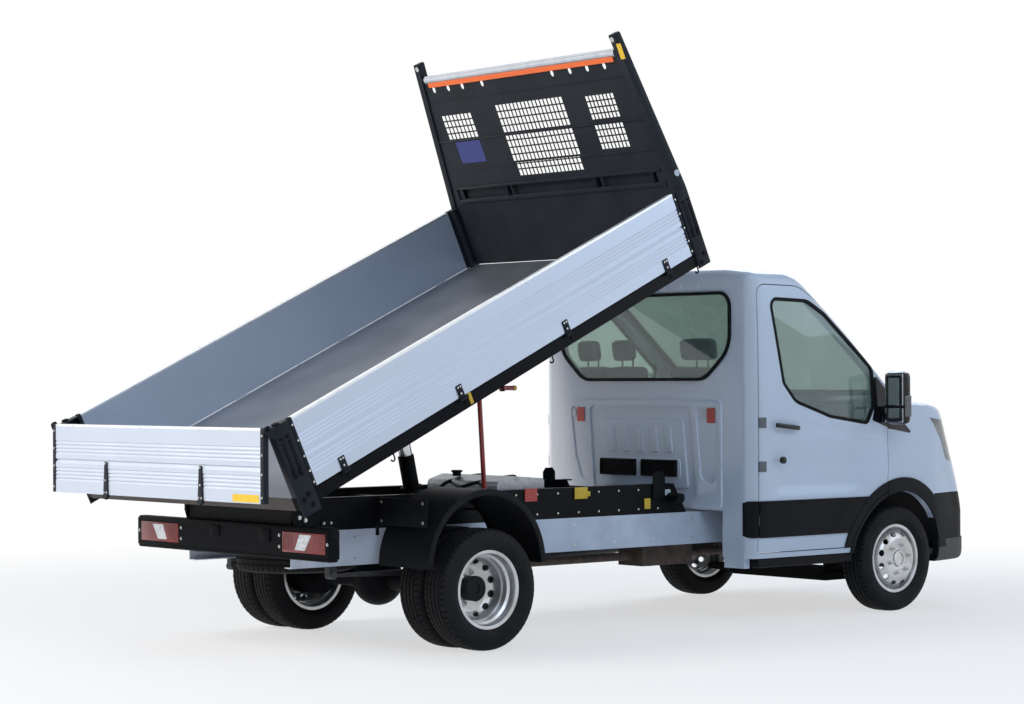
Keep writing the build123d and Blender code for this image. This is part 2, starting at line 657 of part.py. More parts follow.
save("cab_glass", [rear_glass, windscreen])

# floor, sills' inner boxes and firewall
firewall_x = (wheelbase - 204, wheelbase - 174)
cab_floor = block((cab_rear + cab_wall, firewall_x[0]), (-880, 880),
                  (floor_z, floor_z + floor_sheet)) & inner_form
cab_floor = cab_floor + (block(firewall_x, (-880, 880), (floor_z, 1330)) & inner_form)
# round mounts that carry the cab on the rails
cab_mount_x = (cab_rear + 290, wheelbase - 324)
for x in cab_mount_x:
    mount = post(x, -rail_outer_y + rail_flange / 2, (rail_top, floor_z + 1), rail_flange / 2)
    cab_floor = cab_floor + mount + mirrored(mount)
save("cab_floor", cab_floor)

# ---------------------------------------------------------------- nose
bonnet_rear = cowl_x
bonnet_half = 770.0
bonnet_front = wheelbase + 891.0
bonnet_rows = [(bonnet_rear, -bonnet_half, 60), (grille_rear, -bonnet_half + 60, 120),
               (bonnet_front, -430, 150), (bonnet_front, 430, 150), (grille_rear, bonnet_half - 60, 120),
               (bonnet_rear, bonnet_half, 60)]
bonnet_low, bonnet_high = 1050.0, 1500.0
bonnet_edge = 8.0           # thickness of the bonnet's rim
bonnet_rim = 26.0           # how far the thicker middle stays back from the rim
bonnet_cut = plan_prism(bonnet_rows, (bonnet_low, bonnet_high))
bonnet_middle = Pos(0, 0, bonnet_low) * extrude(offset(outline(bonnet_rows), amount=-bonnet_rim),
                                                bonnet_high - bonnet_low, dir=(0, 0, 1))
bonnet_hole = plan_prism([(bonnet_rear - 6, -bonnet_half - 6, 60), (grille_rear + 6, -bonnet_half + 54, 120),
                          (bonnet_front + 6, -434, 150), (bonnet_front + 6, 434, 150),
                          (grille_rear + 6, bonnet_half - 54, 120), (bonnet_rear - 6, bonnet_half + 6, 60)],
                         (bonnet_low, bonnet_high))
# the bonnet has no wall of its own down the leaning corners, so that it lifts clear of them
bonnet = (outer_form - cab_form(bonnet_edge, with_corners=False)) & bonnet_cut
bonnet = bonnet + ((outer_form - cab_form(cab_wall, with_corners=False)) & bonnet_middle)
save("bonnet", bonnet)

nose = shell & (block((door_front_x + skin_gap / 2, clear_x), (-wide, wide), (0, nose_top - 0.3))
                + block((cowl_x, clear_x), (-wide, wide), (0, 1500)))
nose = nose - bonnet_hole - wheel_arch - mirrored(wheel_arch)
bumper_top = 752.0
bumper_zone = block((bumper_rear, clear_x), (-wide, wide), (0, bumper_top))
lamp_rows = from_front([(315, 1250, 0), (826, 1185, 0), (1016, 1010, 0), (926, 925, 0), (598, 955, 20),
                        (531, 971, 20), (456, 1105, 120)])
lamp_hole = side_cut(lamp_rows, (-wide, -600))
lamp_cut = side_cut(lamp_rows, (-wide, -600.3), -0.3)
grille_zone = block((grille_rear, clear_x), (-585, 585), (bumper_top + 8, 1060))
bumper = nose & bumper_zone
bumper = bumper - block((grille_rear, clear_x), (-430, 430), (430, 610))
wings = nose - bumper_zone - block((door_front_x - 4, bumper_rear), (-wide, wide),
                                   (0, sill_z)) - lamp_hole - mirrored(lamp_hole)
wings = wings - grille_zone
headlamp = (shell & lamp_cut) - bonnet_hole
save("front_bumper", bumper)
save("front_wings", wings)
save("headlamps", both(headlamp))
grille = (shell & block((grille_rear, clear_x), (-584.7, 584.7), (bumper_top + 8.3, 1059.7))) - bonnet_hole
slot_count = 3
slot_pitch = 90.0
for i in range(slot_count):
    z = bumper_top + 45 + slot_pitch * i
    grille = grille - block((grille_rear, clear_x), (-520, 520), (z, z + 55))
save("grille", grille)

# ---------------------------------------------------------------- cab inside and outside fittings
seat_rows = ((-450.0, 520.0), (330.0, 900.0))       # middle, width: driver's place and a double place
seat_x = (cab_rear + 160, cab_rear + 660)
seats = []
for middle, width in seat_rows:
    cushion = block(seat_x, (middle - width / 2, middle + width / 2), (1040, 1170))
    base = block((seat_x[0] + 40, seat_x[1] - 40), (middle - width / 2 + 40, middle + width / 2 - 40),
                 (floor_z + floor_sheet, 1040))
    back = side_prism([(seat_x[0] - 10, 1170, 20), (seat_x[0] + 110, 1170, 20), (seat_x[0] + 40, 1800, 40),
                       (seat_x[0] - 75, 1800, 40)],
                      (middle - width / 2 + 20, middle + width / 2 - 20))
    seats.append(cushion + base + back)
save("seats", seats)

dash = side_prism(from_front([(-444, 1000, 40), (-374, 900, 20), (-204, 900, 0), (-204, 1330, 0),
                              (-304, 1340, 40), (-464, 1240, 60)]), (-870, 870)) & inner_form
wheel_middle = Vector(wheelbase - 614, 450, 1235)
column_way = (Vector(wheelbase - 444, 450, 1150) - wheel_middle).normalized()
wheel_plane = Plane(origin=wheel_middle, z_dir=column_way)
steering_wheel = wheel_plane * Torus(185, 14) + wheel_plane * Cylinder(45, 30) + wheel_plane * Box(360, 26,
                                                                                                   12)
column = rod(wheel_middle + column_way * 15.3, (wheelbase - 424, 450, 1140), 30)
save("dashboard", dash + column)
save("steering_wheel", steering_wheel)

mirror_z = (1210.0, 1555.0)
mirror_face = 1240.0
mirror = side_prism(from_front([(-264, mirror_z[0] + 20, 20), (-242, mirror_z[0], 20),
                                (-186, mirror_z[0] + 30, 30), (-174, mirror_z[1] - 60, 60),
                                (-204, mirror_z[1], 25), (-264, mirror_z[1] - 20, 25)]),
                    (-mirror_face, -mirror_face + 180))
mirror_arm = block((wheelbase - 248, wheelbase - 192), (-mirror_face + 170, -1000), (1290, 1340)) - outer_form
save("mirror_right", mirror + mirror_arm)
save("mirror_left", mirrored(mirror + mirror_arm))

step_rows = [(cab_rear + 85, sill_z - 62, 15), (wheelbase - 434, sill_z - 62, 15),
             (wheelbase - 442, sill_z, 0), (cab_rear + 76, sill_z, 0)]
step = side_cut(step_rows, (-955, -890))
save("sill_steps", both(step))

# ---------------------------------------------------------------- bed, in its own flat frame
rail_out = bed_half_width - 6
rail_in = rail_out - 60
frame_top = -floor_thickness
frame_low = -edge_rail_height
bed_front = bed_length + front_post_length
headboard_u = bed_length + 54
sheet_thickness = 3.0
post_out = bed_half_width + 8
post_in = bed_half_width - 48

floor_half = bed_half_width - panel_thickness - 1
floor_plate = block((-rear_post_length, headboard_u - 9), (-floor_half, floor_half), (frame_top, 0))
for u in ((-rear_post_length - 1, 1), (bed_length - 1, headboard_u)):
    notch = block(u, (-floor_half - 1, -post_in + 1), (frame_top - 1, 1))
    floor_plate = floor_plate - notch - mirrored(notch)
save("bed_floor", tipped(floor_plate))

runner_low = pivot_w + (sub_top + seat_gap - pivot_z)
bed_bars_u = (300.0, 660.0, 1000.0, 1290.0, 1620.0, bed_length - 1136, bed_length - 796, bed_length - 456)
bed_bar_width = 50.0
edge_rail = block((-rear_post_length, bed_front - 60), (-rail_out, -rail_in), (frame_low, frame_top))
edge_rail = edge_rail - block((-rear_post_length - 1, bed_front), (-rail_out + 5, -rail_in + 1),
                              (frame_low + 5, frame_top - 5))
bed_frame = edge_rail + mirrored(edge_rail)
for u in bed_bars_u + (-rear_post_length, bed_front - 60 - bed_bar_width):
    bed_frame = bed_frame + block((u, u + bed_bar_width), (-rail_out + 5, rail_out - 5),
                                  (frame_low, frame_top))
runner_nose = pivot_w - runner_low        # round end about the pivot
runner = side_prism([(pivot_u - runner_nose, runner_low, runner_nose - 2), (bed_front - 60, runner_low, 0),
                     (bed_front - 60, frame_low, 0), (pivot_u - runner_nose, frame_low, 0)],
                    (-runner_outer_y, -runner_outer_y + runner_width))
runner = runner - block((pivot_u + runner_nose, bed_front),
                        (-runner_outer_y + 7, -runner_outer_y + runner_width + 1),
                        (runner_low + 7, frame_low - 7))
pivot_pin = cross_bar(pivot_u, pivot_w, pivot_radius, (-ear_y[1] - 8, -runner_outer_y + runner_width))
bed_frame = bed_frame + runner + mirrored(runner) + pivot_pin + mirrored(pivot_pin)
# ears for the cylinder's eye, hung between the bars on each side of it
eye_u, eye_w = 1454.0, -92.0
eye_ear_y = (eye_width / 2 + 14, eye_width / 2 + 28)
eye_ear = side_prism([(bed_bars_u[3] + bed_bar_width, frame_low - 1, 0), (eye_u - 55, eye_w - 55, 30),
                      (eye_u + 55, eye_w - 55, 30), (bed_bars_u[4], frame_low - 1, 0),
                      (bed_bars_u[4], frame_top, 0),
                      (bed_bars_u[3] + bed_bar_width, frame_top, 0)], (-eye_ear_y[1], -eye_ear_y[0]))
bed_frame = bed_frame + eye_ear + mirrored(eye_ear)
# hinge lugs along the edge rails
side_hinge_v = bed_half_width + 11
side_hinge_w = -8.0
strap_u = (227.0, 1112.0, bed_length - 1121, bed_length - 246)
strap_half = 22.0
knuckle_radius = 8.0
lug_width = 12.0
for u in strap_u:
    for gap in (-strap_half - 1 - lug_width, strap_half + 1):
        lug = block((u + gap, u + gap + lug_width), (-side_hinge_v - 6, -rail_out),
                    (side_hinge_w - 7, side_hinge_w + 6))
        bed_frame = bed_frame + lug + mirrored(lug)
    pin = Pos(u, -side_hinge_v, side_hinge_w) * Rot(0, 90, 0) * Cylinder(4, 2 * (strap_half + lug_width))
    bed_frame = bed_frame + pin + mirrored(pin)
save("bed_frame", tipped(bed_frame))

# corner posts: channels open inwards, with the tailgate's hinge lugs on the rear pair
rear_post = block((-rear_post_length, 0), (-post_out, -post_in), (-115, side_height))
rear_post = rear_post - block((-rear_post_length + post_wall, -post_wall),
                              (-post_out + post_wall, -post_in + 1),
                              (-116, side_height - post_wall))
rear_post = rear_post - block((-rear_post_length - 1, 1), (-rail_out, -post_in + 1), (-116, 0.0))
gate_lug = side_prism([(-rear_post_length + 1, 340, 0), (-rear_post_length + 1, side_height, 0),
                       (gate_hinge_u + 18, gate_hinge_w + 20, 12), (gate_hinge_u - 20, gate_hinge_w + 20, 16),
                       (gate_hinge_u - 20, gate_hinge_w - 22, 14)], (-post_out, -post_out + post_wall))
gate_pin = cross_bar(gate_hinge_u, gate_hinge_w, 8, (-post_out, -post_out + 36))
rear_post = rear_post + gate_lug + gate_pin
front_post = side_prism([(bed_length, side_height, 0), (bed_length, -60, 20), (bed_length + 25, -90, 10),
                         (bed_front - 20, -90, 25), (bed_front, -60, 20), (bed_front, side_height, 0)],
                        (-post_out + 2, -post_in))
front_post = front_post - block((bed_length + post_wall, bed_front - post_wall),
                                (-post_out + 2 + post_wall, -post_in + 1), (0, side_height - post_wall))
front_post = front_post - block((bed_length - 1, bed_front + 1), (-rail_out, -post_in + 1), (-100, 0.0))
save("corner_posts", [tipped(piece) for piece in both(rear_post) + both(front_post)])

# headboard: a folded sheet between two posts that lean inwards
stanchion = end_prism([(-post_out + 4, side_height, 0), (-post_out + 49, side_height, 0),
                       (-headboard_top_half + 45, headboard_top, 0), (-headboard_top_half, headboard_top, 0)],
                      (headboard_u - 12, headboard_u + 46))
sheet_top = 1290.0
post_lean = (post_out - 4 - headboard_top_half) / (headboard_top - side_height)
top_half = headboard_top_half - 45 + post_lean * (headboard_top - sheet_top)
base_half = post_out - 49
sheet_rows = full_end([(0, 0, 0), (post_in - 0.3, 0, 0), (post_in - 0.3, side_height, 0),
                       (base_half, side_height, 0),
                       (top_half, sheet_top, 0), (0, sheet_top, 0)])
sheet = end_prism(sheet_rows, (headboard_u, headboard_u + sheet_thickness))
# see-through panels: middle across, middle up, width, height
grid_rows = ((0, 960, 624, 190), (0, 770, 624, 190), (0, 622, 600, 96),
             (-665, 955, 260, 160), (-665, 775, 260, 160), (665, 955, 260, 160))
for v, w, width, height in grid_rows:
    sheet = sheet - block((headboard_u - 5, headboard_u + 9), (v - width / 2, v + width / 2),
                          (w - height / 2, w + height / 2))
slot_w = (456.0, 520.0)
gusset_v = (-910.0, -420.0, 420.0, 910.0)
for left, right in zip(gusset_v, gusset_v[1:]):
    sheet = sheet - block((headboard_u - 5, headboard_u + 9), (left + 8, right - 8), slot_w)
fold_rows = ((sheet_top - 34, sheet_top, top_half), (slot_w[1] + 2, slot_w[1] + 20, 950),
             (slot_w[0] - 30, slot_w[0] - 2, 960))
for low, high, half in fold_rows:
    sheet = sheet + block((headboard_u - 8, headboard_u + 30), (-half, half), (low, high))
headboard = sheet + stanchion + mirrored(stanchion)
save("headboard", tipped(headboard))

# dropsides: hollow boards hinged along their lower edge
side_u = (panel_gap, bed_length - panel_gap)
side_v = (-bed_half_width, -bed_half_width + panel_thickness)
board = block(side_u, side_v, (panel_gap, side_height))
for u in strap_u:
    strap = block((u - strap_half, u + strap_half), (-bed_half_width - 6, -bed_half_width),
                  (side_hinge_w, 75))
    barrel = Pos(u, -side_hinge_v, side_hinge_w) * Rot(0, 90, 0) * Cylinder(knuckle_radius, 2 * strap_half)
    bore = Pos(u, -side_hinge_v, side_hinge_w) * Rot(0, 90, 0) * Cylinder(4.6, 2 * strap_half + 2)
    board = board + strap + barrel - bore
save("side_panel_right", tipped(board))
save("side_panel_left", tipped(mirrored(board)))

# tailgate, hanging straight down from its top hinges
gate_x, gate_z = tipped_point(gate_hinge_u, gate_hinge_w)
gate_half = bed_half_width - 5
gate = side_prism([(gate_x - panel_thickness / 2, gate_z - gate_height + gate_above_hinge, 2),
                   (gate_x + panel_thickness / 2, gate_z - gate_height + gate_above_hinge, 2),
                   (gate_x + panel_thickness / 2, gate_z + gate_above_hinge, 6),
                   (gate_x - panel_thickness / 2, gate_z + gate_above_hinge, 6)], (-gate_half, gate_half))
for side in (-1, 1):
    gate = gate - cross_bar(gate_x, gate_z, 9, tuple(sorted((side * (gate_half + 1),
                                                             side * (gate_half - 26)))))
save("tailgate", gate)

# ---------------------------------------------------------------- tipping cylinder
# rows: outer radius, foot and top when folded (along the axis from the trunnion), moving share
stroke_now = eye_now - eye_folded
casing_radius = 57.5
casing_span = (-330.0, 85.0)
stage_radii = (48.0, 40.0, 32.0)
stage_spans = ((-310.0, 98.0), (-300.0, 108.0), (-290.0, eye_folded))


def on_cylinder(piece):
    return Location((trunnion_x, 0, trunnion_z), (0, -cylinder_lean, 0)) * piece


def tube(radius, wall, span, closed=0.0):
    """Tube along +Z with a closed foot of the given thickness."""
    outer = post(0, 0, span, radius)
    return outer - post(0, 0, (span[0] + closed if closed else span[0] - 1, span[1] + 1), radius - wall)


casing = tube(casing_radius, casing_radius - stage_radii[0] - stage_gap, casing_span, 12)
casing = casing + (post(0, 0, (-24, 24), casing_radius + 8) - post(0, 0, (-25, 25), casing_radius - 1))
for side in (-1, 1):
    casing = casing + cross_bar(0, 0, pivot_radius,
                                tuple(sorted((side * (casing_radius - 1), side * (cheek_y[1] + 5)))))
save("cylinder_casing", on_cylinder(casing))
for i, (radius, span) in enumerate(zip(stage_radii, stage_spans)):
    out = stroke_now * (i + 1) / len(stage_radii)
    if i + 1 < len(stage_radii):
        stage = tube(radius, radius - stage_radii[i + 1] - stage_gap, span, 6)
    else:
        stage = post(0, 0, (span[0], span[1] - eye_radius + 8), radius)
        stage = stage + cross_bar(0, span[1], eye_radius, (-eye_width / 2, eye_width / 2))
        stage = stage - cross_bar(0, span[1], 16, (-eye_width / 2 - 1, eye_width / 2 + 1))
    save(f"cylinder_stage_{i + 1}", on_cylinder(Pos(0, 0, out) * stage))

# ---------------------------------------------------------------- safety prop
prop_lean = 3.75
prop = post(0, 0, (0, prop_length), prop_radius) + cross_bar(0, 0, prop_radius + 4,
                                                             (-prop_radius, prop_radius))
prop = prop - cross_bar(0, 0, 9, (-prop_radius - 1, prop_radius + 1))
save("safety_prop", Location((prop_x, -prop_y, prop_z), (0, -prop_lean, 0)) * prop)
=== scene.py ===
import json
import math

import bpy
import numpy as np
from mathutils import Matrix, Vector

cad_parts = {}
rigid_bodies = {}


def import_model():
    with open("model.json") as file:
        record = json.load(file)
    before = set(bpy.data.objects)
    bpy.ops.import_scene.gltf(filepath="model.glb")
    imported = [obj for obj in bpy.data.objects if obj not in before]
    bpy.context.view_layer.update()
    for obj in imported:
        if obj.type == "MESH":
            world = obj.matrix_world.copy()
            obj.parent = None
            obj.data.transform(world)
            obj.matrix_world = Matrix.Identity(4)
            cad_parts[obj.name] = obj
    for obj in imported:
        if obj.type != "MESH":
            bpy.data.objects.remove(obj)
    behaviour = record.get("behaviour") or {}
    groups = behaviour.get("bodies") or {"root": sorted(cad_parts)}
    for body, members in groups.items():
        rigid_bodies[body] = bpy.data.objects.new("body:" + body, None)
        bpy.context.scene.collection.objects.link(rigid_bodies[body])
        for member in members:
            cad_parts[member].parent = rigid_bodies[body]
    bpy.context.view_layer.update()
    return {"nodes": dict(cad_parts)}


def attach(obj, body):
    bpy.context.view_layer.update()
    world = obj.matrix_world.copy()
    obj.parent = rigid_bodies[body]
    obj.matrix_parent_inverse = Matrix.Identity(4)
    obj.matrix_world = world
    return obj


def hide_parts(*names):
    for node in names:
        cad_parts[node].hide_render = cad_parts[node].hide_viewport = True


for left_over in list(bpy.data.objects):
    bpy.data.objects.remove(left_over)
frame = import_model()
nodes = frame["nodes"]

# ------------------------------------------------------------------ ladder frame
# Two folded steel channels with cross-members between them, sprayed white with the cab.
# Everything else is bolted to them, so their webs carry rows of bolt heads and spare holes.
REAR_AXLE = -1487.378       # rear axle's place along the truck, mm; lengths are given from it


def at(x, y, z):
    """A point from millimetres: forward of the rear axle, left of the middle, above the ground."""
    return Vector(((x + REAR_AXLE) / 1000, y / 1000, z / 1000))


def alone(obj):
    """Make one object the only selected one."""
    bpy.ops.object.select_all(action="DESELECT")
    obj.select_set(True)
    bpy.context.view_layer.objects.active = obj
    return obj


def settle(obj, name):
    """Name a new piece and put its place into its mesh."""
    alone(obj)
    bpy.ops.object.transform_apply(location=True, rotation=True, scale=True)
    obj.name = name
    return obj


def joined(pieces, name):
    """Join pieces into the first of them."""
    bpy.ops.object.select_all(action="DESELECT")
    for piece in pieces:
        piece.select_set(True)
    bpy.context.view_layer.objects.active = pieces[0]
    if len(pieces) > 1:
        bpy.ops.object.join()
    return settle(pieces[0], name)


def finish_with(obj, kind, **settings):
    """Add a modifier with these settings and apply it."""
    alone(obj)
    step = obj.modifiers.new(kind.lower(), kind)
    for key, value in settings.items():
        setattr(step, key, value)
    bpy.ops.object.modifier_apply(modifier=step.name)
    return obj


def added(tree, kind, **values):
    """Add a shader node and set its own sockets; _ stands for a space in a socket's name."""
    made = tree.nodes.new("ShaderNode" + kind)
    for socket, value in values.items():
        made.inputs[socket.replace("_", " ")].default_value = value
    return made


def new_finish(name):
    """A new material, with its node tree and its shader."""
    made = bpy.data.materials.new(name)
    made.use_nodes = True
    return made, made.node_tree, made.node_tree.nodes["Principled BSDF"]


def clouded(tree, spots, detail, tones, span, shines):
    """Drive tone and roughness by a cloudy pattern in the piece's own space."""
    shader = tree.nodes["Principled BSDF"]
    place = added(tree, "TexCoord")
    cloud = added(tree, "TexNoise", Scale=spots, Detail=detail)
    tone = added(tree, "ValToRGB")
    for stop, colour, share in zip(tone.color_ramp.elements, tones, span):
        stop.color = tuple(colour) + (1,)
        stop.position = share
    shine = added(tree, "MapRange", To_Min=shines[0], To_Max=shines[1])
    tree.links.new(place.outputs["Object"], cloud.inputs["Vector"])
    tree.links.new(cloud.outputs["Fac"], tone.inputs["Fac"])
    tree.links.new(tone.outputs["Color"], shader.inputs["Base Color"])
    tree.links.new(cloud.outputs["Fac"], shine.inputs["Value"])
    tree.links.new(shine.outputs["Result"], shader.inputs["Roughness"])
    return place.outputs["Object"]


def raised(tree, place, pattern, strength):
    """Let a pattern raise and sink the face by up to a millimetre."""
    relief = added(tree, "Bump", Strength=strength, Distance=0.001)
    tree.links.new(place, pattern.inputs["Vector"])
    tree.links.new(pattern.outputs["Fac"], relief.inputs["Height"])
    tree.links.new(relief.outputs["Normal"], tree.nodes["Principled BSDF"].inputs["Normal"])


def surface(name, colour, roughness, metal=0.0, mottle=0.06, spots=6.0, pits=0.0, pit_size=180.0,
            coat=0.0, dirt=None, gloss=0.5):
    """Paint, metal or plastic with an uneven tone, an uneven shine and a fine grain."""
    made, tree, shader = new_finish(name)
    shader.inputs["Metallic"].default_value = metal
    shader.inputs["Coat Weight"].default_value = coat
    shader.inputs["Coat Roughness"].default_value = 0.06
    shader.inputs["Specular IOR Level"].default_value = gloss
    dark = [c * (1 - mottle) for c in (dirt or colour)]
    light = [min(c * (1 + mottle), 1) for c in colour]
    place = clouded(tree, spots, 6, (dark, light), (0.3, 0.62),
                    (roughness * 0.85, min(roughness * 1.2, 1)))
    if pits:
        raised(tree, place, added(tree, "TexNoise", Scale=pit_size, Detail=3), pits)
    return made


def dressed(obj, material, body=None, stands_for=()):
    """Give a piece its finish, the body it moves with and the solids it stands for."""
    obj.data.materials.clear()
    obj.data.materials.append(material)
    if body:
        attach(obj, body)
    if stands_for:
        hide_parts(*stands_for)
    return obj


def smooth(obj, degrees=35):
    alone(obj)
    bpy.ops.object.shade_smooth_by_angle(angle=math.radians(degrees))
    return obj


def slab(low, high, edge=0.0):
    """Box between two corners in millimetres, with its edges rounded over."""
    low, high = at(*low), at(*high)
    bpy.ops.object.select_all(action="DESELECT")
    bpy.ops.mesh.primitive_cube_add(size=1, location=(low + high) / 2, scale=high - low)
    made = bpy.context.object
    bpy.ops.object.transform_apply(location=True, rotation=True, scale=True)
    if edge:
        finish_with(made, "BEVEL", width=edge / 1000, segments=2)
    return made


def round_bar(start, end, radius, corners=16, edge=0.0):
    """Round bar from one point to another, all in millimetres."""
    start, end = at(*start), at(*end)
    along = end - start
    bpy.ops.object.select_all(action="DESELECT")
    bpy.ops.mesh.primitive_cylinder_add(vertices=corners, radius=radius / 1000, depth=along.length,
                                        location=(start + end) / 2,
                                        rotation=along.to_track_quat("Z", "Y").to_euler())
    made = bpy.context.object
    bpy.ops.object.transform_apply(location=True, rotation=True, scale=True)
    if edge:
        finish_with(made, "BEVEL", width=edge / 1000, segments=2, angle_limit=math.radians(40))
    return made


def copied(model, places, name):
    """Copies of one model at each place matrix, joined; the model itself goes."""
    pieces = []
    for place in places:
        piece = bpy.data.objects.new(name, model.data.copy())
        piece.data.transform(place)
        if place.determinant() < 0:
            piece.data.flip_normals()
        bpy.context.scene.collection.objects.link(piece)
        pieces.append(piece)
    bpy.data.objects.remove(model)
    return joined(pieces, name)


def standing(x, y, z, way, turn=0.0):
    """Place matrix that stands a model's Z axis along a direction at a point in millimetres."""
    return (Matrix.Translation(at(x, y, z)) @ Vector(way).to_track_quat("Z", "Y").to_matrix().to_4x4()
            @ Matrix.Rotation(turn, 4, "Z"))


def bolts(places, radius, height, name):
    """Hexagon heads on washers; each place is (x, y, z, the way that the head stands)."""
    bpy.ops.object.select_all(action="DESELECT")
    bpy.ops.mesh.primitive_cylinder_add(vertices=12, radius=radius * 0.00135, depth=height * 0.0003,
                                        location=(0, 0, height * 0.00015))
    washer = bpy.context.object
    bpy.ops.mesh.primitive_cylinder_add(vertices=6, radius=radius / 1000, depth=height / 1000,
                                        location=(0, 0, height / 2000))
    head = joined([washer, bpy.context.object], "head")
    return copied(head, [standing(*place, turn=i * 0.7) for i, place in enumerate(places)], name)


white_paint = surface("white_paint", (0.78, 0.81, 0.85), 0.22, mottle=0.015, spots=1.5, coat=0.3, gloss=0.3)
frame_paint = surface("frame_white_paint", (0.70, 0.73, 0.78), 0.35, mottle=0.05, spots=5, pits=0.05,
                      coat=0.2, dirt=(0.62, 0.65, 0.70))
zinc = surface("zinc_plated_steel", (0.55, 0.56, 0.56), 0.35, metal=1.0, mottle=0.12, spots=60)
dressed(nodes["frame_rails"], frame_paint)
rail_bolts = [(x, side * 500, z, (0, side, 0)) for side in (-1, 1) for x in range(-880, 2100, 330)
              for z in (520, 640)]
dressed(bolts(rail_bolts, 5, 4, "rail_bolts"), zinc, "chassis")

# ------------------------------------------------------------------ sub-frame
# A second pair of channels that carries the tipping gear, folded from steel plate and powder
# coated black. It is bolted down to the rails through plates, and its cross-bars hold the ram.
black_steel = surface("black_powder_coat", (0.008, 0.0085, 0.0095), 0.42, mottle=0.2, spots=9, pits=0.15,
                      pit_size=420, gloss=0.07)
yellow_patch = surface("yellow_label_film", (0.82, 0.52, 0.03), 0.4, mottle=0.06, spots=30)
plain_patch = surface("white_label_film", (0.72, 0.73, 0.72), 0.4, mottle=0.05, spots=30)
red_patch = surface("red_label_film", (0.60, 0.07, 0.05), 0.4, mottle=0.06, spots=30)
dressed(nodes["sub_frame"], black_steel)
web_bolts = [(x, side * 500, z, (0, side, 0)) for side in (-1, 1) for x in range(640, 1960, 165)
             for z in (712, 830)]
dressed(bolts(web_bolts, 4.5, 4, "sub_frame_bolts"), zinc, "chassis")
pivot_bolts = [(x, side * 526, z, (0, side, 0)) for side in (-1, 1)
               for x, z in ((-945, 760), (-905, 820), (-905, 745))]
dressed(bolts(pivot_bolts, 9, 7, "pivot_bolts"), zinc, "chassis")
# two yellow tabs and bare labels on the right web
tabs = [slab((1096, -512, 792), (1200, -504, 862), 2), slab((1200, -512, 806), (1222, -504, 836), 2)]
dressed(smooth(joined(tabs, "yellow_tabs")), yellow_patch, "chassis")
for name, film, (x0, x1, z0, z1) in (("bare_frame_label", plain_patch, (1832, 1898, 790, 826)),
                                     ("bare_red_frame_label", red_patch, (704, 800, 790, 866)),
                                     ("bare_yellow_frame_label", yellow_patch, (1676, 1726, 712, 776))):
    dressed(slab((x0, -507, z0), (x1, -504, z1)), film, "chassis").name = name
# tie plates that clamp the sub-frame to the rails, with four bolts in each
ties, tie_bolts = [], []
for side in (-1, 1):
    for x in (-740, 60):
        ties.append(slab((x - 45, side * 500 - 7, 622), (x + 45, side * 500 + 7, 742), 3))
        tie_bolts += [(x + dx, side * 507, z, (0, side, 0)) for dx in (-25, 25) for z in (645, 722)]
dressed(smooth(joined(ties, "sub_frame_ties")), black_steel, "chassis")
dressed(bolts(tie_bolts, 6, 5, "tie_bolts"), zinc, "chassis")

# ------------------------------------------------------------------ tyres
# Steel-belted radial tyres, moulded in black rubber. Four grooves run round the tread, blocks
# are cut at the shoulders, and plain ribs circle the walls. The beads grip the rims.
WHEEL_Z = 342.0


def spun(section, steps, name):
    """Closed section of (along Y, radius) rows in millimetres, spun once about Y."""
    bpy.ops.object.select_all(action="DESELECT")
    bpy.ops.mesh.primitive_circle_add(vertices=len(section), radius=1, fill_type="NOTHING")
    made = bpy.context.object
    for corner, (out, radius) in zip(made.data.vertices, section):
        corner.co = (0, out / 1000, radius / 1000)
    bpy.ops.object.mode_set(mode="EDIT")
    bpy.ops.mesh.select_all(action="SELECT")
    bpy.ops.mesh.spin(steps=steps, angle=2 * math.pi, center=(0, 0, 0), axis=(0, 1, 0))
    bpy.ops.mesh.select_all(action="SELECT")
    bpy.ops.mesh.remove_doubles(threshold=0.00005)
    bpy.ops.mesh.normals_make_consistent(inside=False)
    bpy.ops.object.mode_set(mode="OBJECT")
    made.name = name
    return made


def placed(obj, x, y, z, side=1, flat=False):
    """Move a wheel piece to its hub; side turns its outer face, flat lays it down face up."""
    turn = Matrix.Rotation(math.pi / 2, 4, "X") if flat else Matrix.Scale(side, 4, (0, 1, 0))
    obj.data.transform(Matrix.Translation(at(x, y, z)) @ turn)
    if turn.determinant() < 0:
        obj.data.flip_normals()
    return obj


PITCHES = 60                # tread blocks round the tyre
TREAD_STEPS = 6             # mesh steps in one block
SHOULDER, CROWN = 0.3305, 0.3405    # radii beyond which the shoulder and the tread are cut, metres
wall_rows = [(69.7, 206.3), (69.7, 221), (76, 226), (84, 236), (90.5, 248), (93, 251), (95, 252),
             (96.6, 262), (97.6, 274), (97.4, 290), (96.2, 297), (95.2, 298.5), (94, 308), (90.5, 318),
             (86, 327), (80, 333.5), (74, 337.2), (66, 338.8), (57, 340)]
groove_rows = [(52, 340.6), (50.5, 333), (44.5, 333), (43, 341), (31, 341.5), (20.5, 341.8), (19, 333),
               (12.5, 333), (11, 341.9), (4, 342)]
half_section = wall_rows + groove_rows
tyre_section = half_section + [(-s, r) for s, r in reversed(half_section)]
tyre_section += [(-62, 212), (-80, 250), (-84, 280), (-76, 316), (-40, 326), (0, 328),
                 (40, 326), (76, 316), (84, 280), (80, 250), (62, 212)]


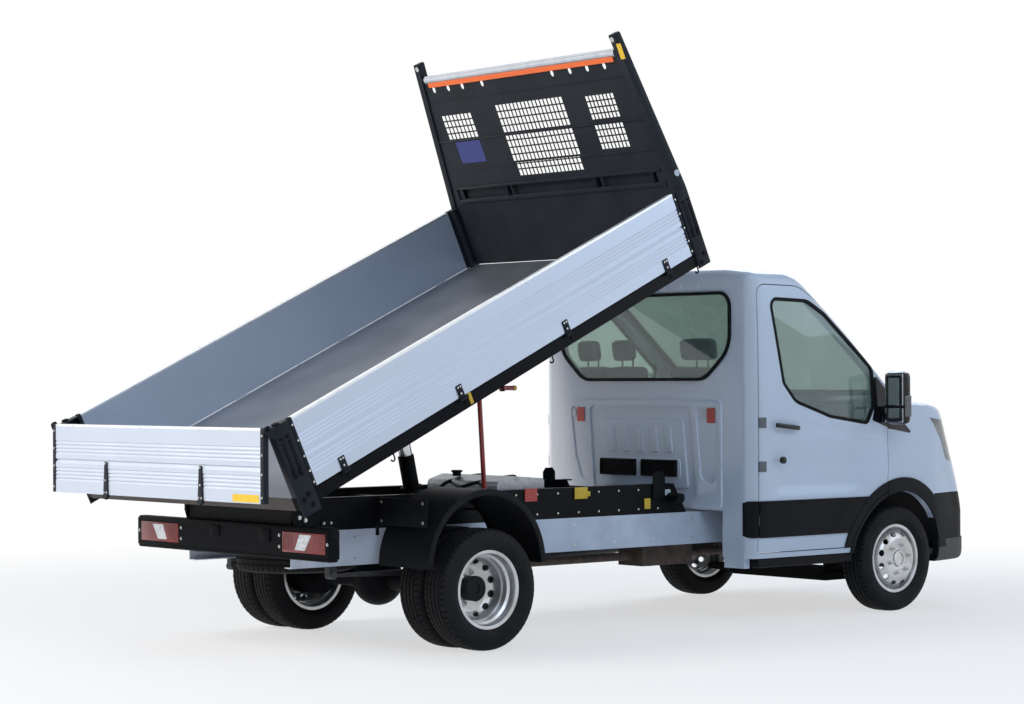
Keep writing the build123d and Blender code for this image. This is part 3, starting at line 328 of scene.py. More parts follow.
def tyre(name):
    """Tyre about Y, with the gaps between its tread blocks pressed in."""
    made = spun(tyre_section, PITCHES * TREAD_STEPS, name)
    for corner in made.data.vertices:
        radius = math.hypot(corner.co.x, corner.co.z)
        across = abs(corner.co.y) * 1000
        turn = round(math.atan2(corner.co.x, corner.co.z) / (2 * math.pi) * PITCHES * TREAD_STEPS)
        cut = 0.0
        if radius > SHOULDER and across > 53:
            shift = 0 if corner.co.y > 0 else TREAD_STEPS // 2
            cut = 0.007 if (turn + shift) % TREAD_STEPS == 0 else 0.0
        elif radius > CROWN and 22 < across < 42:
            cut = 0.003 if (turn + 2) % TREAD_STEPS == 0 else 0.0
        elif radius > CROWN and across < 11.5:
            cut = 0.0025 if (turn + 4) % TREAD_STEPS == 0 else 0.0
        if cut:
            corner.co.x *= 1 - cut / radius
            corner.co.z *= 1 - cut / radius
    return smooth(made, 28)


rubber = surface("tyre_rubber", (0.012, 0.012, 0.013), 0.62, gloss=0.1, mottle=0.22, spots=14, pits=0.25,
                 pit_size=500, dirt=(0.026, 0.024, 0.022))
WHEELBASE = 3504.0
FRONT_Y, OUTER_Y, INNER_Y = 862.0, 930.0, 711.0
SPARE_X, SPARE_Z = -590.0, 526.0
DISC_OUT = 109.5            # disc's mounting face from the middle of the rim
for side, hand in ((-1, "right"), (1, "left")):
    dressed(placed(tyre(f"{hand}_front_tyre"), WHEELBASE, side * FRONT_Y, WHEEL_Z, side), rubber,
            f"front_{hand}_wheel", [f"front_{hand}_tyre"])
    twins = [placed(tyre("twin"), 0, side * y, WHEEL_Z, side) for y in (OUTER_Y, INNER_Y)]
    dressed(joined(twins, f"{hand}_twin_tyres"), rubber, f"rear_{hand}_wheels",
            [f"rear_{hand}_tyres"])
dressed(placed(tyre("spare_wheel_tyre"), SPARE_X, 0, SPARE_Z, flat=True), rubber, "chassis",
        ["spare_tyre"])

# ------------------------------------------------------------------ steel wheels
# Pressed steel wheels: a rolled rim and a dished disc with twelve hand holes, welded together
# and sprayed silver. Six nuts hold each one. A rear pair is bolted face to face.
rim_section = [(-76, 221), (-70, 221), (-70, 206), (-24, 203), (-14, 189), (26, 189), (36, 203),
               (70, 206), (70, 221), (76, 221), (76, 217), (74, 203), (68, 199), (40, 196), (30, 182),
               (-18, 182), (-28, 196), (-68, 199), (-74, 203), (-76, 217)]
DISC_IN = 99.5              # disc's other face
disc_section = [(24, 185), (58, 183), (78, 176), (92, 165), (100, 153), (104, 144), (109, 134),
                (DISC_OUT, 126), (DISC_OUT, 66), (105, 52), (DISC_IN, 52), (DISC_IN, 126), (97, 134),
                (92, 139), (86, 152), (74, 163), (52, 173), (24, 175)]
HOLE_CIRCLE, HOLE_COUNT, HOLE_Y = 157.0, 12, 90.0
NUT_CIRCLE, NUT_COUNT = 92.0, 6
HOLE_SPLAY = 0.55           # how far the hand holes lean outwards
silver = surface("silver_rim_paint", (0.56, 0.57, 0.58), 0.3, metal=0.75, mottle=0.08, spots=9, coat=0.35,
                 dirt=(0.46, 0.45, 0.43))
hub_black = surface("hub_cap_plastic", (0.01, 0.01, 0.011), 0.45, gloss=0.12, mottle=0.2, spots=30)


def steel_wheel(name):
    """Rim and disc with its hand holes, outer face along +Y."""
    disc = spun(disc_section, 96, "disc")
    cutters = []
    for i in range(HOLE_COUNT):
        turn = 2 * math.pi * (i + 0.5) / HOLE_COUNT
        middle = Vector((math.sin(turn), HOLE_Y / HOLE_CIRCLE, math.cos(turn))) * HOLE_CIRCLE / 1000
        bpy.ops.mesh.primitive_cylinder_add(vertices=20, radius=1, depth=0.11, location=middle)
        hole = bpy.context.object
        lean = Vector((math.sin(turn) * HOLE_SPLAY, 1, math.cos(turn) * HOLE_SPLAY)).normalized()
        across = Vector((math.cos(turn), 0, -math.sin(turn)))
        oval = Matrix((across * 0.0215, across.cross(lean) * -0.0175, lean)).transposed().to_4x4()
        hole.matrix_world = Matrix.Translation(middle) @ oval
        cutters.append(hole)
    cutter = joined(cutters, "holes")
    alone(cutter)
    bpy.ops.object.mode_set(mode="EDIT")
    bpy.ops.mesh.select_all(action="SELECT")
    bpy.ops.mesh.normals_make_consistent(inside=False)
    bpy.ops.object.mode_set(mode="OBJECT")
    finish_with(disc, "BOOLEAN", operation="DIFFERENCE", object=cutter, solver="MANIFOLD")
    bpy.data.objects.remove(cutter)
    return smooth(joined([spun(rim_section, 96, "rim"), disc], name), 40)


def boss_of(radius_rows, name):
    """Turned boss on the wheel's axis: rows of (along Y, radius), closed on the axis."""
    return spun([(y, max(r, 0.02)) for y, r in radius_rows] + [(radius_rows[0][0], 0.02)], 40, name)


def wheel_nuts(face):
    """Ring of washers, hexagons and stud ends that stand on a face across Y."""
    nuts = []
    for i in range(NUT_COUNT):
        turn = 2 * math.pi * i / NUT_COUNT + 0.3
        x, z = NUT_CIRCLE * math.sin(turn) / 1000, NUT_CIRCLE * math.cos(turn) / 1000
        for radius, depth, corners in ((0.0175, 0.006, 24), (0.0125, 0.021, 6), (0.006, 0.03, 12)):
            bpy.ops.mesh.primitive_cylinder_add(vertices=corners, radius=radius, depth=depth,
                                                location=(x, face / 1000 + depth / 2, z),
                                                rotation=(math.pi / 2, 0, 0))
            nuts.append(bpy.context.object)
    return joined(nuts, "nuts")


front_hub = [(90, 51), (113, 51), (115.5, 48), (115.5, 40), (106, 37), (106, 0)]
rear_hub = [(-160, 70), (-34, 71), (-31.5, 68), (-31.5, 30), (-38, 26), (-38, 0)]
for side, hand in ((-1, "right"), (1, "left")):
    wheel = placed(steel_wheel(f"{hand}_front_wheel_steel"), WHEELBASE, side * FRONT_Y, WHEEL_Z, side)
    dressed(wheel, silver, f"front_{hand}_wheel", [f"front_{hand}_rim"])
    nuts = smooth(placed(wheel_nuts(DISC_OUT), WHEELBASE, side * FRONT_Y, WHEEL_Z, side), 30)
    dressed(nuts, zinc, f"front_{hand}_wheel").name = f"{hand}_front_wheel_nuts"
    boss = placed(boss_of(front_hub, f"{hand}_front_hub"), WHEELBASE, side * FRONT_Y, WHEEL_Z, side)
    dressed(smooth(boss, 30), zinc, f"front_{hand}_wheel")
    outer = placed(steel_wheel("outer"), 0, side * OUTER_Y, WHEEL_Z, -side)
    inner = placed(steel_wheel("inner"), 0, side * INNER_Y, WHEEL_Z, side)
    dressed(joined([outer, inner], f"{hand}_twin_wheel_steel"), silver, f"rear_{hand}_wheels",
            [f"rear_{hand}_rims"])
    nuts = smooth(placed(wheel_nuts(-DISC_IN), 0, side * OUTER_Y, WHEEL_Z, side), 30)
    dressed(nuts, zinc, f"rear_{hand}_wheels").name = f"{hand}_twin_wheel_nuts"
    boss = placed(boss_of(rear_hub, f"{hand}_rear_hub"), 0, side * OUTER_Y, WHEEL_Z, side)
    dressed(smooth(boss, 30), hub_black, f"rear_{hand}_wheels")
dressed(placed(steel_wheel("spare_wheel_steel"), SPARE_X, 0, SPARE_Z, flat=True), silver, "chassis",
        ["spare_rim"])

# ------------------------------------------------------------------ cab skin
# The cab is pressed from steel sheet and welded into one smooth shell before the doors, bonnet
# and glass go in. Its form is where a plan, an end view, a side view and a screen meet.
plan_rows = [(2130, 0, 0), (2130, 898, 0), (2215, 985, 120), (2700, 1032, 900), (3400, 1024, 900),
             (3860, 960, 500), (4297, 850, 300), (4490, 610, 300), (4527, 300, 600), (4527, 0, 0)]
corner_rows = [(1900, 0, 0), (1900, 1600, 0), (3450, 1600, 0), (4297, 850, 250), (4500, 610, 300),
               (4640, 300, 300), (4640, 0, 0)]
CORNER_LEAN, CORNER_FOOT = 0.36, 620.0
end_rows = [(0, 280, 0), (930, 280, 60), (968, 440, 200), (1032, 1020, 500), (1020, 1300, 700),
            (962, 2080, 300), (945, 2165, 75), (700, 2200, 400), (0, 2210, 0)]
side_rows = [(2130, 280, 0), (4440, 280, 60), (4512, 380, 80), (4527, 600, 200), (4500, 850, 200),
             (4440, 1080, 150), (4230, 1250, 300), (3860, 1362, 200), (3480, 1440, 0), (2500, 2222, 0),
             (2130, 2222, 50)]
SCREEN_FOOT, SCREEN_FOOT_Z, SCREEN_BOW, SCREEN_RUN = 3800.0, 1352.0, 1807.0, 0.945
SCREEN_SLANT = 0.687        # turns a distance along the truck into one square to the screen


def rounded(rows, steps=8):
    """Points round a closed outline of (across, up, corner radius) rows."""
    points = []
    for i, (x, y, r) in enumerate(rows):
        here = Vector((x, y))
        if r == 0:
            points.append(here)
            continue
        to_last = (Vector(rows[i - 1][:2]) - here).normalized()
        to_next = (Vector(rows[(i + 1) % len(rows)][:2]) - here).normalized()
        turn = to_last.angle(to_next) / 2
        start, end = here + to_last * r / math.tan(turn), here + to_next * r / math.tan(turn)
        middle = here + (to_last + to_next).normalized() * r / math.sin(turn)
        for k in range(steps + 1):
            points.append(middle + (start - middle).lerp(end - middle, k / steps).normalized() * r)
    return points


def mirrored_rows(rows, axis=1):
    """Half an outline followed by its mirror image."""
    flip = [(-x, y, r) if axis == 0 else (x, -y, r) for x, y, r in reversed(rows[1:-1])]
    return rows + flip


def distance_map(points, low, high, step=10.0):
    """Signed distance to a closed outline, looked up on a grid; negative inside."""
    across, up = (np.arange(a, b + step, step) for a, b in zip(low, high))
    px, py = np.meshgrid(across, up, indexing="ij")
    corners = np.array([tuple(p) for p in points])
    best, inside = np.full(px.shape, 1e9), np.zeros(px.shape, bool)
    for (ax, ay), (bx, by) in zip(corners, np.roll(corners, -1, axis=0)):
        ex, ey = bx - ax, by - ay
        if ex * ex + ey * ey < 1e-9:
            continue
        t = np.clip(((px - ax) * ex + (py - ay) * ey) / (ex * ex + ey * ey), 0, 1)
        best = np.minimum(best, np.hypot(px - ax - t * ex, py - ay - t * ey))
        if ey:
            inside ^= ((ay > py) != (by > py)) & (px < ex * (py - ay) / ey + ax)
    field = np.where(inside, -best, best)

    def look(x, y):
        u = np.clip((x - low[0]) / step, 0, len(across) - 1.001)
        v = np.clip((y - low[1]) / step, 0, len(up) - 1.001)
        i, j = u.astype(int), v.astype(int)
        u, v = u - i, v - j
        return ((field[i, j] * (1 - u) + field[i + 1, j] * u) * (1 - v)
                + (field[i, j + 1] * (1 - u) + field[i + 1, j + 1] * u) * v)
    return look


plan_map = distance_map(rounded(mirrored_rows(plan_rows)), (1900, 0), (4800, 1300))
corner_map = distance_map(rounded(mirrored_rows(corner_rows)), (1900, 0), (5200, 1300))
end_map = distance_map(rounded(mirrored_rows(end_rows, 0)), (0, 100), (1300, 2400))
side_map = distance_map(rounded(side_rows), (1900, 100), (4800, 2400))


def soft_max(a, b, blend):
    """The larger of two distances, blended where they are close."""
    near = np.clip(blend - np.abs(a - b), 0, None)
    return np.maximum(a, b) + near * near / (4 * blend)


def ramp(value, low, high):
    """Smooth climb from 0 at low to 1 at high."""
    t = np.clip((value - low) / (high - low), 0, 1)
    return t * t * (3 - 2 * t)


def cab_form(x, y, z):
    """How far a point lies outside the cab, in millimetres."""
    y = np.abs(y)
    bow = np.sqrt(SCREEN_BOW ** 2 - np.minimum(y, 1400) ** 2)
    screen = (x - (SCREEN_FOOT - SCREEN_BOW + bow) + (z - SCREEN_FOOT_Z) / SCREEN_RUN) * SCREEN_SLANT
    screen = -soft_max(-screen, -(z - SCREEN_FOOT_Z), 40)
    body = soft_max(plan_map(x, y), end_map(y, z), 40)
    body = soft_max(body, side_map(x, z), 90)
    body = soft_max(body, 0.95 * corner_map(x + CORNER_LEAN * np.maximum(z - CORNER_FOOT, 0), y), 30)
    return soft_max(body, screen, 60)


def pressing(y, z, left, right, low, high, corner, wall):
    """Depth share of a pressed panel with rounded corners and sloping walls: 1 inside, 0 outside."""
    middle_y, middle_z = (left + right) / 2, (low + high) / 2
    dy = np.abs(y - middle_y) - (right - left) / 2 + corner
    dz = np.abs(z - middle_z) - (high - low) / 2 + corner
    out = np.hypot(np.maximum(dy, 0), np.maximum(dz, 0)) + np.minimum(np.maximum(dy, dz), 0) - corner
    return 1 - ramp(out, -wall, wall)


# the skin starts as a finely cut block around the cab; each of its points moves in towards a core
# until the cab's form stops it
SKIN_CUTS = 100
SKIN_LOW, SKIN_LONG, SKIN_WIDE = (2080, -1090, 230), 2520, 2180
ARCH_X = 3500.0             # middle of the front wheels' arches
bpy.ops.object.select_all(action="DESELECT")
bpy.ops.mesh.primitive_cube_add(size=1)
skin = bpy.context.object
bpy.ops.object.mode_set(mode="EDIT")
bpy.ops.mesh.select_all(action="SELECT")
bpy.ops.mesh.subdivide(number_cuts=SKIN_CUTS)
bpy.ops.object.mode_set(mode="OBJECT")
count = len(skin.data.vertices)
unit = np.zeros(count * 3)
skin.data.vertices.foreach_get("co", unit)
unit = unit.reshape(-1, 3) + 0.5
start = np.empty_like(unit)
start[:, 0] = SKIN_LOW[0] + unit[:, 0] * SKIN_LONG
start[:, 1] = SKIN_LOW[1] + unit[:, 1] * SKIN_WIDE
top = np.interp(start[:, 0], (2080, 2560, 3840, 4250, 4600), (2270, 2270, 1440, 1330, 1200))
start[:, 2] = SKIN_LOW[2] + unit[:, 2] * (top - SKIN_LOW[2])
end = np.stack([np.clip(start[:, 0], 2420, 4150), np.clip(start[:, 1], -640, 640),
                np.clip(start[:, 2], 560, top - 420)], 1)
near, far = np.zeros(count), np.ones(count)
for _ in range(24):
    share = (near + far) / 2
    p = start + (end - start) * share[:, None]
    outside = cab_form(p[:, 0], p[:, 1], p[:, 2]) > 0
    near, far = np.where(outside, share, near), np.where(outside, far, share)
skin_points = start + (end - start) * near[:, None]

# back wall: a deep panel under the window
x, y, z = skin_points.T.copy()
x += (1 - ramp(x, 2134, 2160)) * 18 * pressing(y, z, -712, 712, 590, 1388, 40, 11)
# flanks: shoulder crease, hollow lower door and the swelling over the wheel
on_side = ramp(np.abs(y), 860, 930) * ramp(x, 2260, 2420)
arch = np.hypot(x - ARCH_X, z - WHEEL_Z)
hollow = ramp(z, 775, 850) * (1 - ramp(z, 960, 1180)) * (1 - ramp(x, 2950, 3280))
swell = (1 - ramp(np.abs(arch - 560), 60, 190)) * ramp(z, 500, 640)
crease = pressing(x, z - 1190 + (x - 2300) * 0.02, 2280, 3260, -20, 20, 19, 40)
y -= np.sign(y) * on_side * (27 * hollow * (1 - 0.6 * swell) - 8 * swell + 10 * crease)
skin_points = np.stack([x, y, z], 1)
skin_points[:, 0] += REAR_AXLE
skin.data.vertices.foreach_set("co", (skin_points / 1000).ravel())
skin.data.update()
skin.name = "cab_skin"
skin.hide_render = True


def wall(name, low, high):
    """A closed sheet that follows the cab's skin, from low to high millimetres outside it."""
    data = skin.data.copy()
    made = bpy.data.objects.new(name, data)
    bpy.context.scene.collection.objects.link(made)
    place, out = np.zeros(count * 3), np.zeros(count * 3)
    data.vertices.foreach_get("co", place)
    data.vertices.foreach_get("normal", out)
    data.vertices.foreach_set("co", place + out * high / 1000)
    data.update()
    return finish_with(made, "SOLIDIFY", thickness=(high - low) / 1000, offset=-1)


def prism(points, way, low, high):
    """Closed prism drawn out along one axis from an outline in millimetres."""
    bpy.ops.object.select_all(action="DESELECT")
    bpy.ops.mesh.primitive_circle_add(vertices=len(points), radius=1, fill_type="NGON")
    made = bpy.context.object
    spots = {"x": lambda p: at(low, p[0], p[1]), "y": lambda p: at(p[0], low, p[1]),
             "z": lambda p: at(p[0], p[1], low)}[way]
    for corner, point in zip(made.data.vertices, points):
        corner.co = spots(point)
    draw = {"x": (1, 0, 0), "y": (0, 1, 0), "z": (0, 0, 1)}[way]
    bpy.ops.object.mode_set(mode="EDIT")
    bpy.ops.mesh.select_all(action="SELECT")
    bpy.ops.mesh.extrude_region_move(TRANSFORM_OT_translate={
        "value": Vector(draw) * (high - low) / 1000})
    bpy.ops.mesh.select_all(action="SELECT")
    bpy.ops.mesh.normals_make_consistent(inside=False)
    bpy.ops.object.mode_set(mode="OBJECT")
    return made


def cut(piece, cutters, how="DIFFERENCE"):
    """Cut pieces away, or keep only what lies in them, and throw the cutters away."""
    for cutter in cutters:
        finish_with(piece, "BOOLEAN", operation=how, object=cutter, solver="MANIFOLD")
        bpy.data.objects.remove(cutter)
    return piece


def grown(rows, amount):
    """An anticlockwise outline with every corner moved out by a margin."""
    found = []
    for i, (x, y, r) in enumerate(rows):
        a = (Vector((x, y)) - Vector(rows[i - 1][:2])).normalized()
        b = (Vector(rows[(i + 1) % len(rows)][:2]) - Vector((x, y))).normalized()
        miter = Vector((a.y + b.y, -a.x - b.x))
        scale = amount / max(1 + a.dot(b), 0.3)
        found.append((x + miter.x * scale, y + miter.y * scale, max(r + amount, 0) if r else 0))
    return found


def turning(rows):
    """Twice the signed area, above zero for an outline that runs anticlockwise."""
    return sum(rows[i - 1][0] * rows[i][1] - rows[i][0] * rows[i - 1][1] for i in range(len(rows)))


def anticlockwise(rows):
    """The outline, turned round where it runs clockwise."""
    return rows if turning(rows) > 0 else rows[::-1]


def off_side(side, a, b):
    """Two distances from the truck's middle on one of its sides, the lower first."""
    return sorted((side * a, side * b))


def side_slab(side, x, y, z, edge=0.0):
    """Slab on one side of the truck from its spans along, out from the middle and up."""
    low, high = off_side(side, *y)
    return slab((x[0], low, z[0]), (x[1], high, z[1]), edge)


def side_prism(rows, side, margin=0.0, inner=880, outer=1250):
    """Cutter through one flank of the cab, from an outline in side view."""
    return prism(rounded(grown(anticlockwise(rows), margin)), "y", *off_side(side, inner, outer))


def plain_box(x, y, z):
    """Box from its spans along, across and up."""
    return slab((x[0], y[0], z[0]), (x[1], y[1], z[1]))


def wheel_arch(side, radius=436.0, inner=540, outer=1250, corners=96):
    """Round bar through one front wheel's arch."""
    return round_bar((ARCH_X, side * inner, WHEEL_Z), (ARCH_X, side * outer, WHEEL_Z), radius, corners)


door_rows = [(2203, 436, 15), (2203, 2092, 60), (2560, 2085, 250), (2790, 1975, 120), (3344, 1452, 30),
             (3344, 700, 20), (3080, 560, 60), (3058, 436, 15)]
door_glass_rows = [(2400, 1480, 60), (2306, 2005, 50), (2640, 1995, 150), (2800, 1915, 80), (3215, 1575, 60),
                   (3215, 1330, 90), (3150, 1222, 40), (2800, 1270, 150), (2500, 1365, 120)]
rear_glass_rows = [(-559, 1503, 180), (559, 1503, 180), (783, 1692, 220), (783, 2045, 90), (-783, 2045, 90),
                   (-783, 1692, 220)]
screen_rows = [(-885, 1395, 60), (885, 1395, 60), (842, 2090, 60), (0, 2110, 2000), (-842, 2090, 60)]
CAB_FRONT, NOSE_TOP, COWL = 3344.0, 1320.0, 3812.0
SILL_Z = 402.0              # underside of the cab's flanks
WIDE, AHEAD = (-1250.0, 1250.0), 5000.0     # past both flanks, and past the nose
DEEP = -45                  # how far the skins of cab, doors and nose are folded inwards
cab = wall("cab_body", DEEP, 0)
cut(cab, [plain_box((2000, 3924), WIDE, (0, SILL_Z)), plain_box((CAB_FRONT, AHEAD), WIDE, (0, NOSE_TOP)),
          plain_box((COWL - 6, AHEAD), WIDE, (0, 1500)),
          plain_box((2129, CAB_FRONT), (-705, 705), (0, 690)), wheel_arch(-1), wheel_arch(1)])
cut(cab, [side_prism(door_rows, side, 3) for side in (-1, 1)])
cut(cab, [prism(rounded(rear_glass_rows), "x", 2080, 2240), prism(rounded(screen_rows, 12), "x", 2420, 4000)])
legs = [cut(wall("leg", DEEP, 0), [plain_box((2100, 2200), off_side(side, 890, 720), (340, SILL_Z + 0.5))],
            "INTERSECT") for side in (-1, 1)]
dressed(smooth(joined([cab] + legs, "cab_body"), 40), white_paint, "chassis",
        ["cab_back", "cab_roof", "cab_sides"])

# ------------------------------------------------------------------ doors
# Each door is a pressed shell hung at its front edge, with a deep window. A black pull handle,
# a lock barrel and grey striker covers sit in it, and black mouldings guard its foot.
black_plastic = surface("black_moulded_plastic", (0.012, 0.012, 0.013), 0.5, gloss=0.08, mottle=0.12,
                        spots=22, pits=0.2, pit_size=700)
rubber_seal = surface("black_rubber_seal", (0.008, 0.008, 0.009), 0.55, gloss=0.08, mottle=0.2, spots=30)
gloss_black = surface("gloss_black_trim", (0.008, 0.009, 0.01), 0.14, gloss=0.2, mottle=0.1, spots=18,
                      coat=0.25)
grey_plastic = surface("grey_plastic", (0.14, 0.145, 0.15), 0.4, mottle=0.12, spots=30)


def glass(name, tint, roughness=0.01):
    """Tinted sheet glass with faint smears."""
    made, tree, shader = new_finish(name)
    shader.inputs["Transmission Weight"].default_value = 0.85
    shader.inputs["IOR"].default_value = 1.48
    clouded(tree, 3.0, 2, ([c * 0.8 for c in tint], tint), (0, 1), (roughness, roughness * 3))
    return made


dark_glass = glass("tinted_glass", (0.62, 0.76, 0.70))
front_glass = glass("clear_green_glass", (0.42, 0.50, 0.46))
sail_rows = [(3200, 1240, 8), (3341, 1196, 4), (3341, 1430, 10), (3225, 1545, 20), (3222, 1330, 60)]
GUARD_FOOT, GUARD_TOP, DOOR_REAR, DOOR_FRONT = 530, 756, 2206, 3340
cladding_rows = [(DOOR_REAR, GUARD_FOOT, 6), (DOOR_FRONT, GUARD_FOOT, 0), (DOOR_FRONT, GUARD_TOP, 10),
                 (DOOR_REAR, GUARD_TOP, 6)]
rib_rows = [(DOOR_REAR, 742, 2), (DOOR_FRONT, 742, 2), (DOOR_FRONT, 750, 2), (DOOR_REAR, 750, 2)]
corner_guard_rows = [(2150, GUARD_FOOT, 20), (2199, GUARD_FOOT, 3), (2199, GUARD_TOP, 3),
                     (2150, GUARD_TOP, 20)]
HANDLE_Y, LOCK_X, LOCK_Z = 1030, 2366, 1006


def turned_at(x, z, degrees):
    """Turn about a line across the truck."""
    middle = at(x, 0, z)
    return (Matrix.Translation(middle) @ Matrix.Rotation(math.radians(degrees), 4, "Y")
            @ Matrix.Translation(-middle))


for side, hand in ((-1, "right"), (1, "left")):
    body = f"door_{hand}"
    door = cut(wall("door", DEEP, 0), [side_prism(door_rows, side, -3)], "INTERSECT")
    cut(door, [side_prism(door_glass_rows, side), wheel_arch(side, 466)])
    dressed(smooth(door, 40), white_paint, body, [body]).name = f"{hand}_door_shell"
    pane = cut(wall("pane", -14, -8), [side_prism(door_glass_rows, side, -0.5)], "INTERSECT")
    dressed(smooth(pane), dark_glass, body, [f"{body}_glass"]).name = f"{hand}_door_glass"
    seal = cut(wall("seal", -20, 2.5), [side_prism(door_glass_rows, side, 9)], "INTERSECT")
    cut(seal, [side_prism(door_glass_rows, side, -11)])
    dressed(smooth(seal), rubber_seal, body).name = f"{hand}_window_seal"
    sail = cut(wall("sail", -6, 4), [side_prism(sail_rows, side)], "INTERSECT")
    guard = cut(wall("guard", -4, 9), [side_prism(cladding_rows, side)], "INTERSECT")
    cut(guard, [wheel_arch(side, 512)])
    rib = cut(wall("rib", 6, 11), [side_prism(rib_rows, side)], "INTERSECT")
    cut(rib, [wheel_arch(side, 512)])
    dressed(smooth(joined([guard, rib], f"{hand}_door_moulding")), black_plastic, body)
    dressed(smooth(sail), gloss_black, body).name = f"{hand}_door_sail"
    # pull handle, then the lock barrel
    grip = slab((2296, side * HANDLE_Y - 9, 1198), (2505, side * HANDLE_Y + 9, 1228), 8)
    grip.data.transform(turned_at(2400, 1212, 6))
    lock = [round_bar((LOCK_X, side * inner, LOCK_Z), (LOCK_X, side * outer, LOCK_Z), radius, corners, edge)
            for inner, outer, radius, corners, edge in ((1010, 1031, 22, 28, 2), (1031, 1033.5, 11, 20, 1))]
    dressed(smooth(joined([grip] + lock, f"{hand}_door_handle")), gloss_black, body)
    tabs = []
    for z in (1206, 936, 604):
        place = plain_box((2204, 2248), off_side(side, 900, 1100), (z, z + 64))
        tabs.append(cut(wall("tab", -2, 5), [place], "INTERSECT"))
    dressed(joined(tabs, f"{hand}_striker_covers"), grey_plastic, body)

corner_guards = [cut(wall("guard", -4, 9), [side_prism(corner_guard_rows, side)], "INTERSECT")
                 for side in (-1, 1)]
dressed(smooth(joined(corner_guards, "cab_corner_mouldings")), black_plastic, "chassis")

# ------------------------------------------------------------------ cab glass
# The windscreen is laminated and the back window tempered; both are bonded in with a black
# band of enamel round their edges.
screen = cut(wall("screen", -14, -8), [prism(rounded(screen_rows, 12), "x", 2420, 4000)], "INTERSECT")
back_pane = prism(rounded(grown(rear_glass_rows, -0.5)), "x", 2146, 2152)
dressed(smooth(screen), front_glass, "chassis").name = "windscreen"
dressed(back_pane, dark_glass, "chassis", ["cab_glass"]).name = "rear_window"
back_seal = prism(rounded(grown(rear_glass_rows, 7)), "x", 2138, 2150)
cut(back_seal, [prism(rounded(grown(rear_glass_rows, -13)), "x", 2130, 2160)])
screen_seal = cut(wall("band", -13, 0.5), [prism(rounded(grown(screen_rows, 3), 12), "x", 2420, 4000)],
                  "INTERSECT")
cut(screen_seal, [prism(rounded(grown(screen_rows, -38), 12), "x", 2400, 4020)])
dressed(settle(back_seal, "rear_window_seal"), rubber_seal, "chassis")
dressed(smooth(screen_seal), rubber_seal, "chassis").name = "windscreen_band"

# ------------------------------------------------------------------ nose
# Wings, bonnet, bumper, grille and headlamps close the front of the cab. The bumper, grille
# and wheel-arch lips are moulded in black plastic; the rest is painted steel.
bonnet_rows = [(3812, -770, 60), (4200, -710, 120), (4395, -430, 150), (4395, 430, 150), (4200, 710, 120),
               (3812, 770, 60)]
lamp_rows = [(3819, 1250, 0), (4330, 1185, 0), (4520, 1010, 0), (4430, 925, 0), (4102, 955, 20),
             (4035, 971, 20), (3960, 1105, 120)]
strip_rows = [(3860, 1225, 4), (3990, 1180, 6), (4080, 1010, 6), (4070, 985, 4), (3975, 1110, 20)]
BUMPER_TOP = 752.0
NOSE_X = 4200               # forward of this lies only the nose's front
BUMPER_REAR = 3857          # where the bumper's ends meet the wings


def bonnet_prism(margin):
    """Cutter through the bonnet's outline from above."""
    return prism(rounded(grown(bonnet_rows, margin)), "z", 1050, 1500)


# the bonnet is thin at its rim and has a stiffening frame under its middle
bonnet = cut(wall("bonnet_shell", -8, 0), [bonnet_prism(0)], "INTERSECT")
stiffener = cut(wall("bonnet_frame", DEEP, -7), [bonnet_prism(-40)], "INTERSECT")
bonnet = joined([bonnet, stiffener], "bonnet_shell")
dressed(smooth(bonnet, 40), white_paint, "bonnet", ["bonnet"])
nose = cut(wall("nose", DEEP, 0), [plain_box((2000, CAB_FRONT + 3), WIDE, (0, 2300)),
                                  plain_box((2000, COWL), WIDE, (NOSE_TOP - 0.3, 2300)),
                                  bonnet_prism(6), wheel_arch(-1), wheel_arch(1)])
wings = alone(nose)
bpy.ops.object.duplicate()
bumper = bpy.context.object
cut(wings, [plain_box((BUMPER_REAR, AHEAD), WIDE, (0, BUMPER_TOP)),
            plain_box((DOOR_FRONT, BUMPER_REAR + 1), WIDE, (0, SILL_Z)),
            plain_box((NOSE_X, AHEAD), (-585, 585), (740, 1060))])
cut(wings, [side_prism(lamp_rows, side, 0, 600) for side in (-1, 1)])
dressed(smooth(wings, 40), white_paint, "chassis", ["front_wings"]).name = "wing_panels"
cut(bumper, [plain_box((BUMPER_REAR, AHEAD), WIDE, (0, BUMPER_TOP - 4))], "INTERSECT")
cut(bumper, [plain_box((NOSE_X, 4700), (-430, 430), (430, 610)),
             plain_box((NOSE_X, 4700), (-700, 700), (690, 712))])
dressed(smooth(bumper, 40), black_plastic, "chassis", ["front_bumper"]).name = "bumper_shell"
# headlamps: a clear lens over a dark bowl, with a chromed strip at the outer corner
lens_glass = glass("lamp_lens", (0.50, 0.52, 0.54))
lamp_dark = surface("smoked_reflector", (0.012, 0.012, 0.014), 0.22, metal=0.2, mottle=0.3, spots=40)
chrome = surface("chromed_reflector", (0.82, 0.83, 0.85), 0.08, metal=1.0, mottle=0.05, spots=20)
lenses, bowls, corners = [], [], []
for side in (-1, 1):
    lens = cut(wall("lens", -7, -0.5), [side_prism(lamp_rows, side, -1.0, 600)], "INTERSECT")
    lenses.append(cut(lens, [bonnet_prism(7)]))
    bowl = cut(wall("bowl", -44, -30), [side_prism(lamp_rows, side, -1.0, 600)], "INTERSECT")
    bowls.append(cut(bowl, [bonnet_prism(7)]))
    corners.append(cut(wall("corner", -24, -20), [side_prism(strip_rows, side, 0, 600)], "INTERSECT"))
dressed(smooth(joined(lenses, "headlamp_lenses")), lens_glass, "chassis", ["headlamps"])
dressed(smooth(joined(bowls, "headlamp_bowls")), lamp_dark, "chassis")
dressed(smooth(joined(corners, "headlamp_corners")), chrome, "chassis")
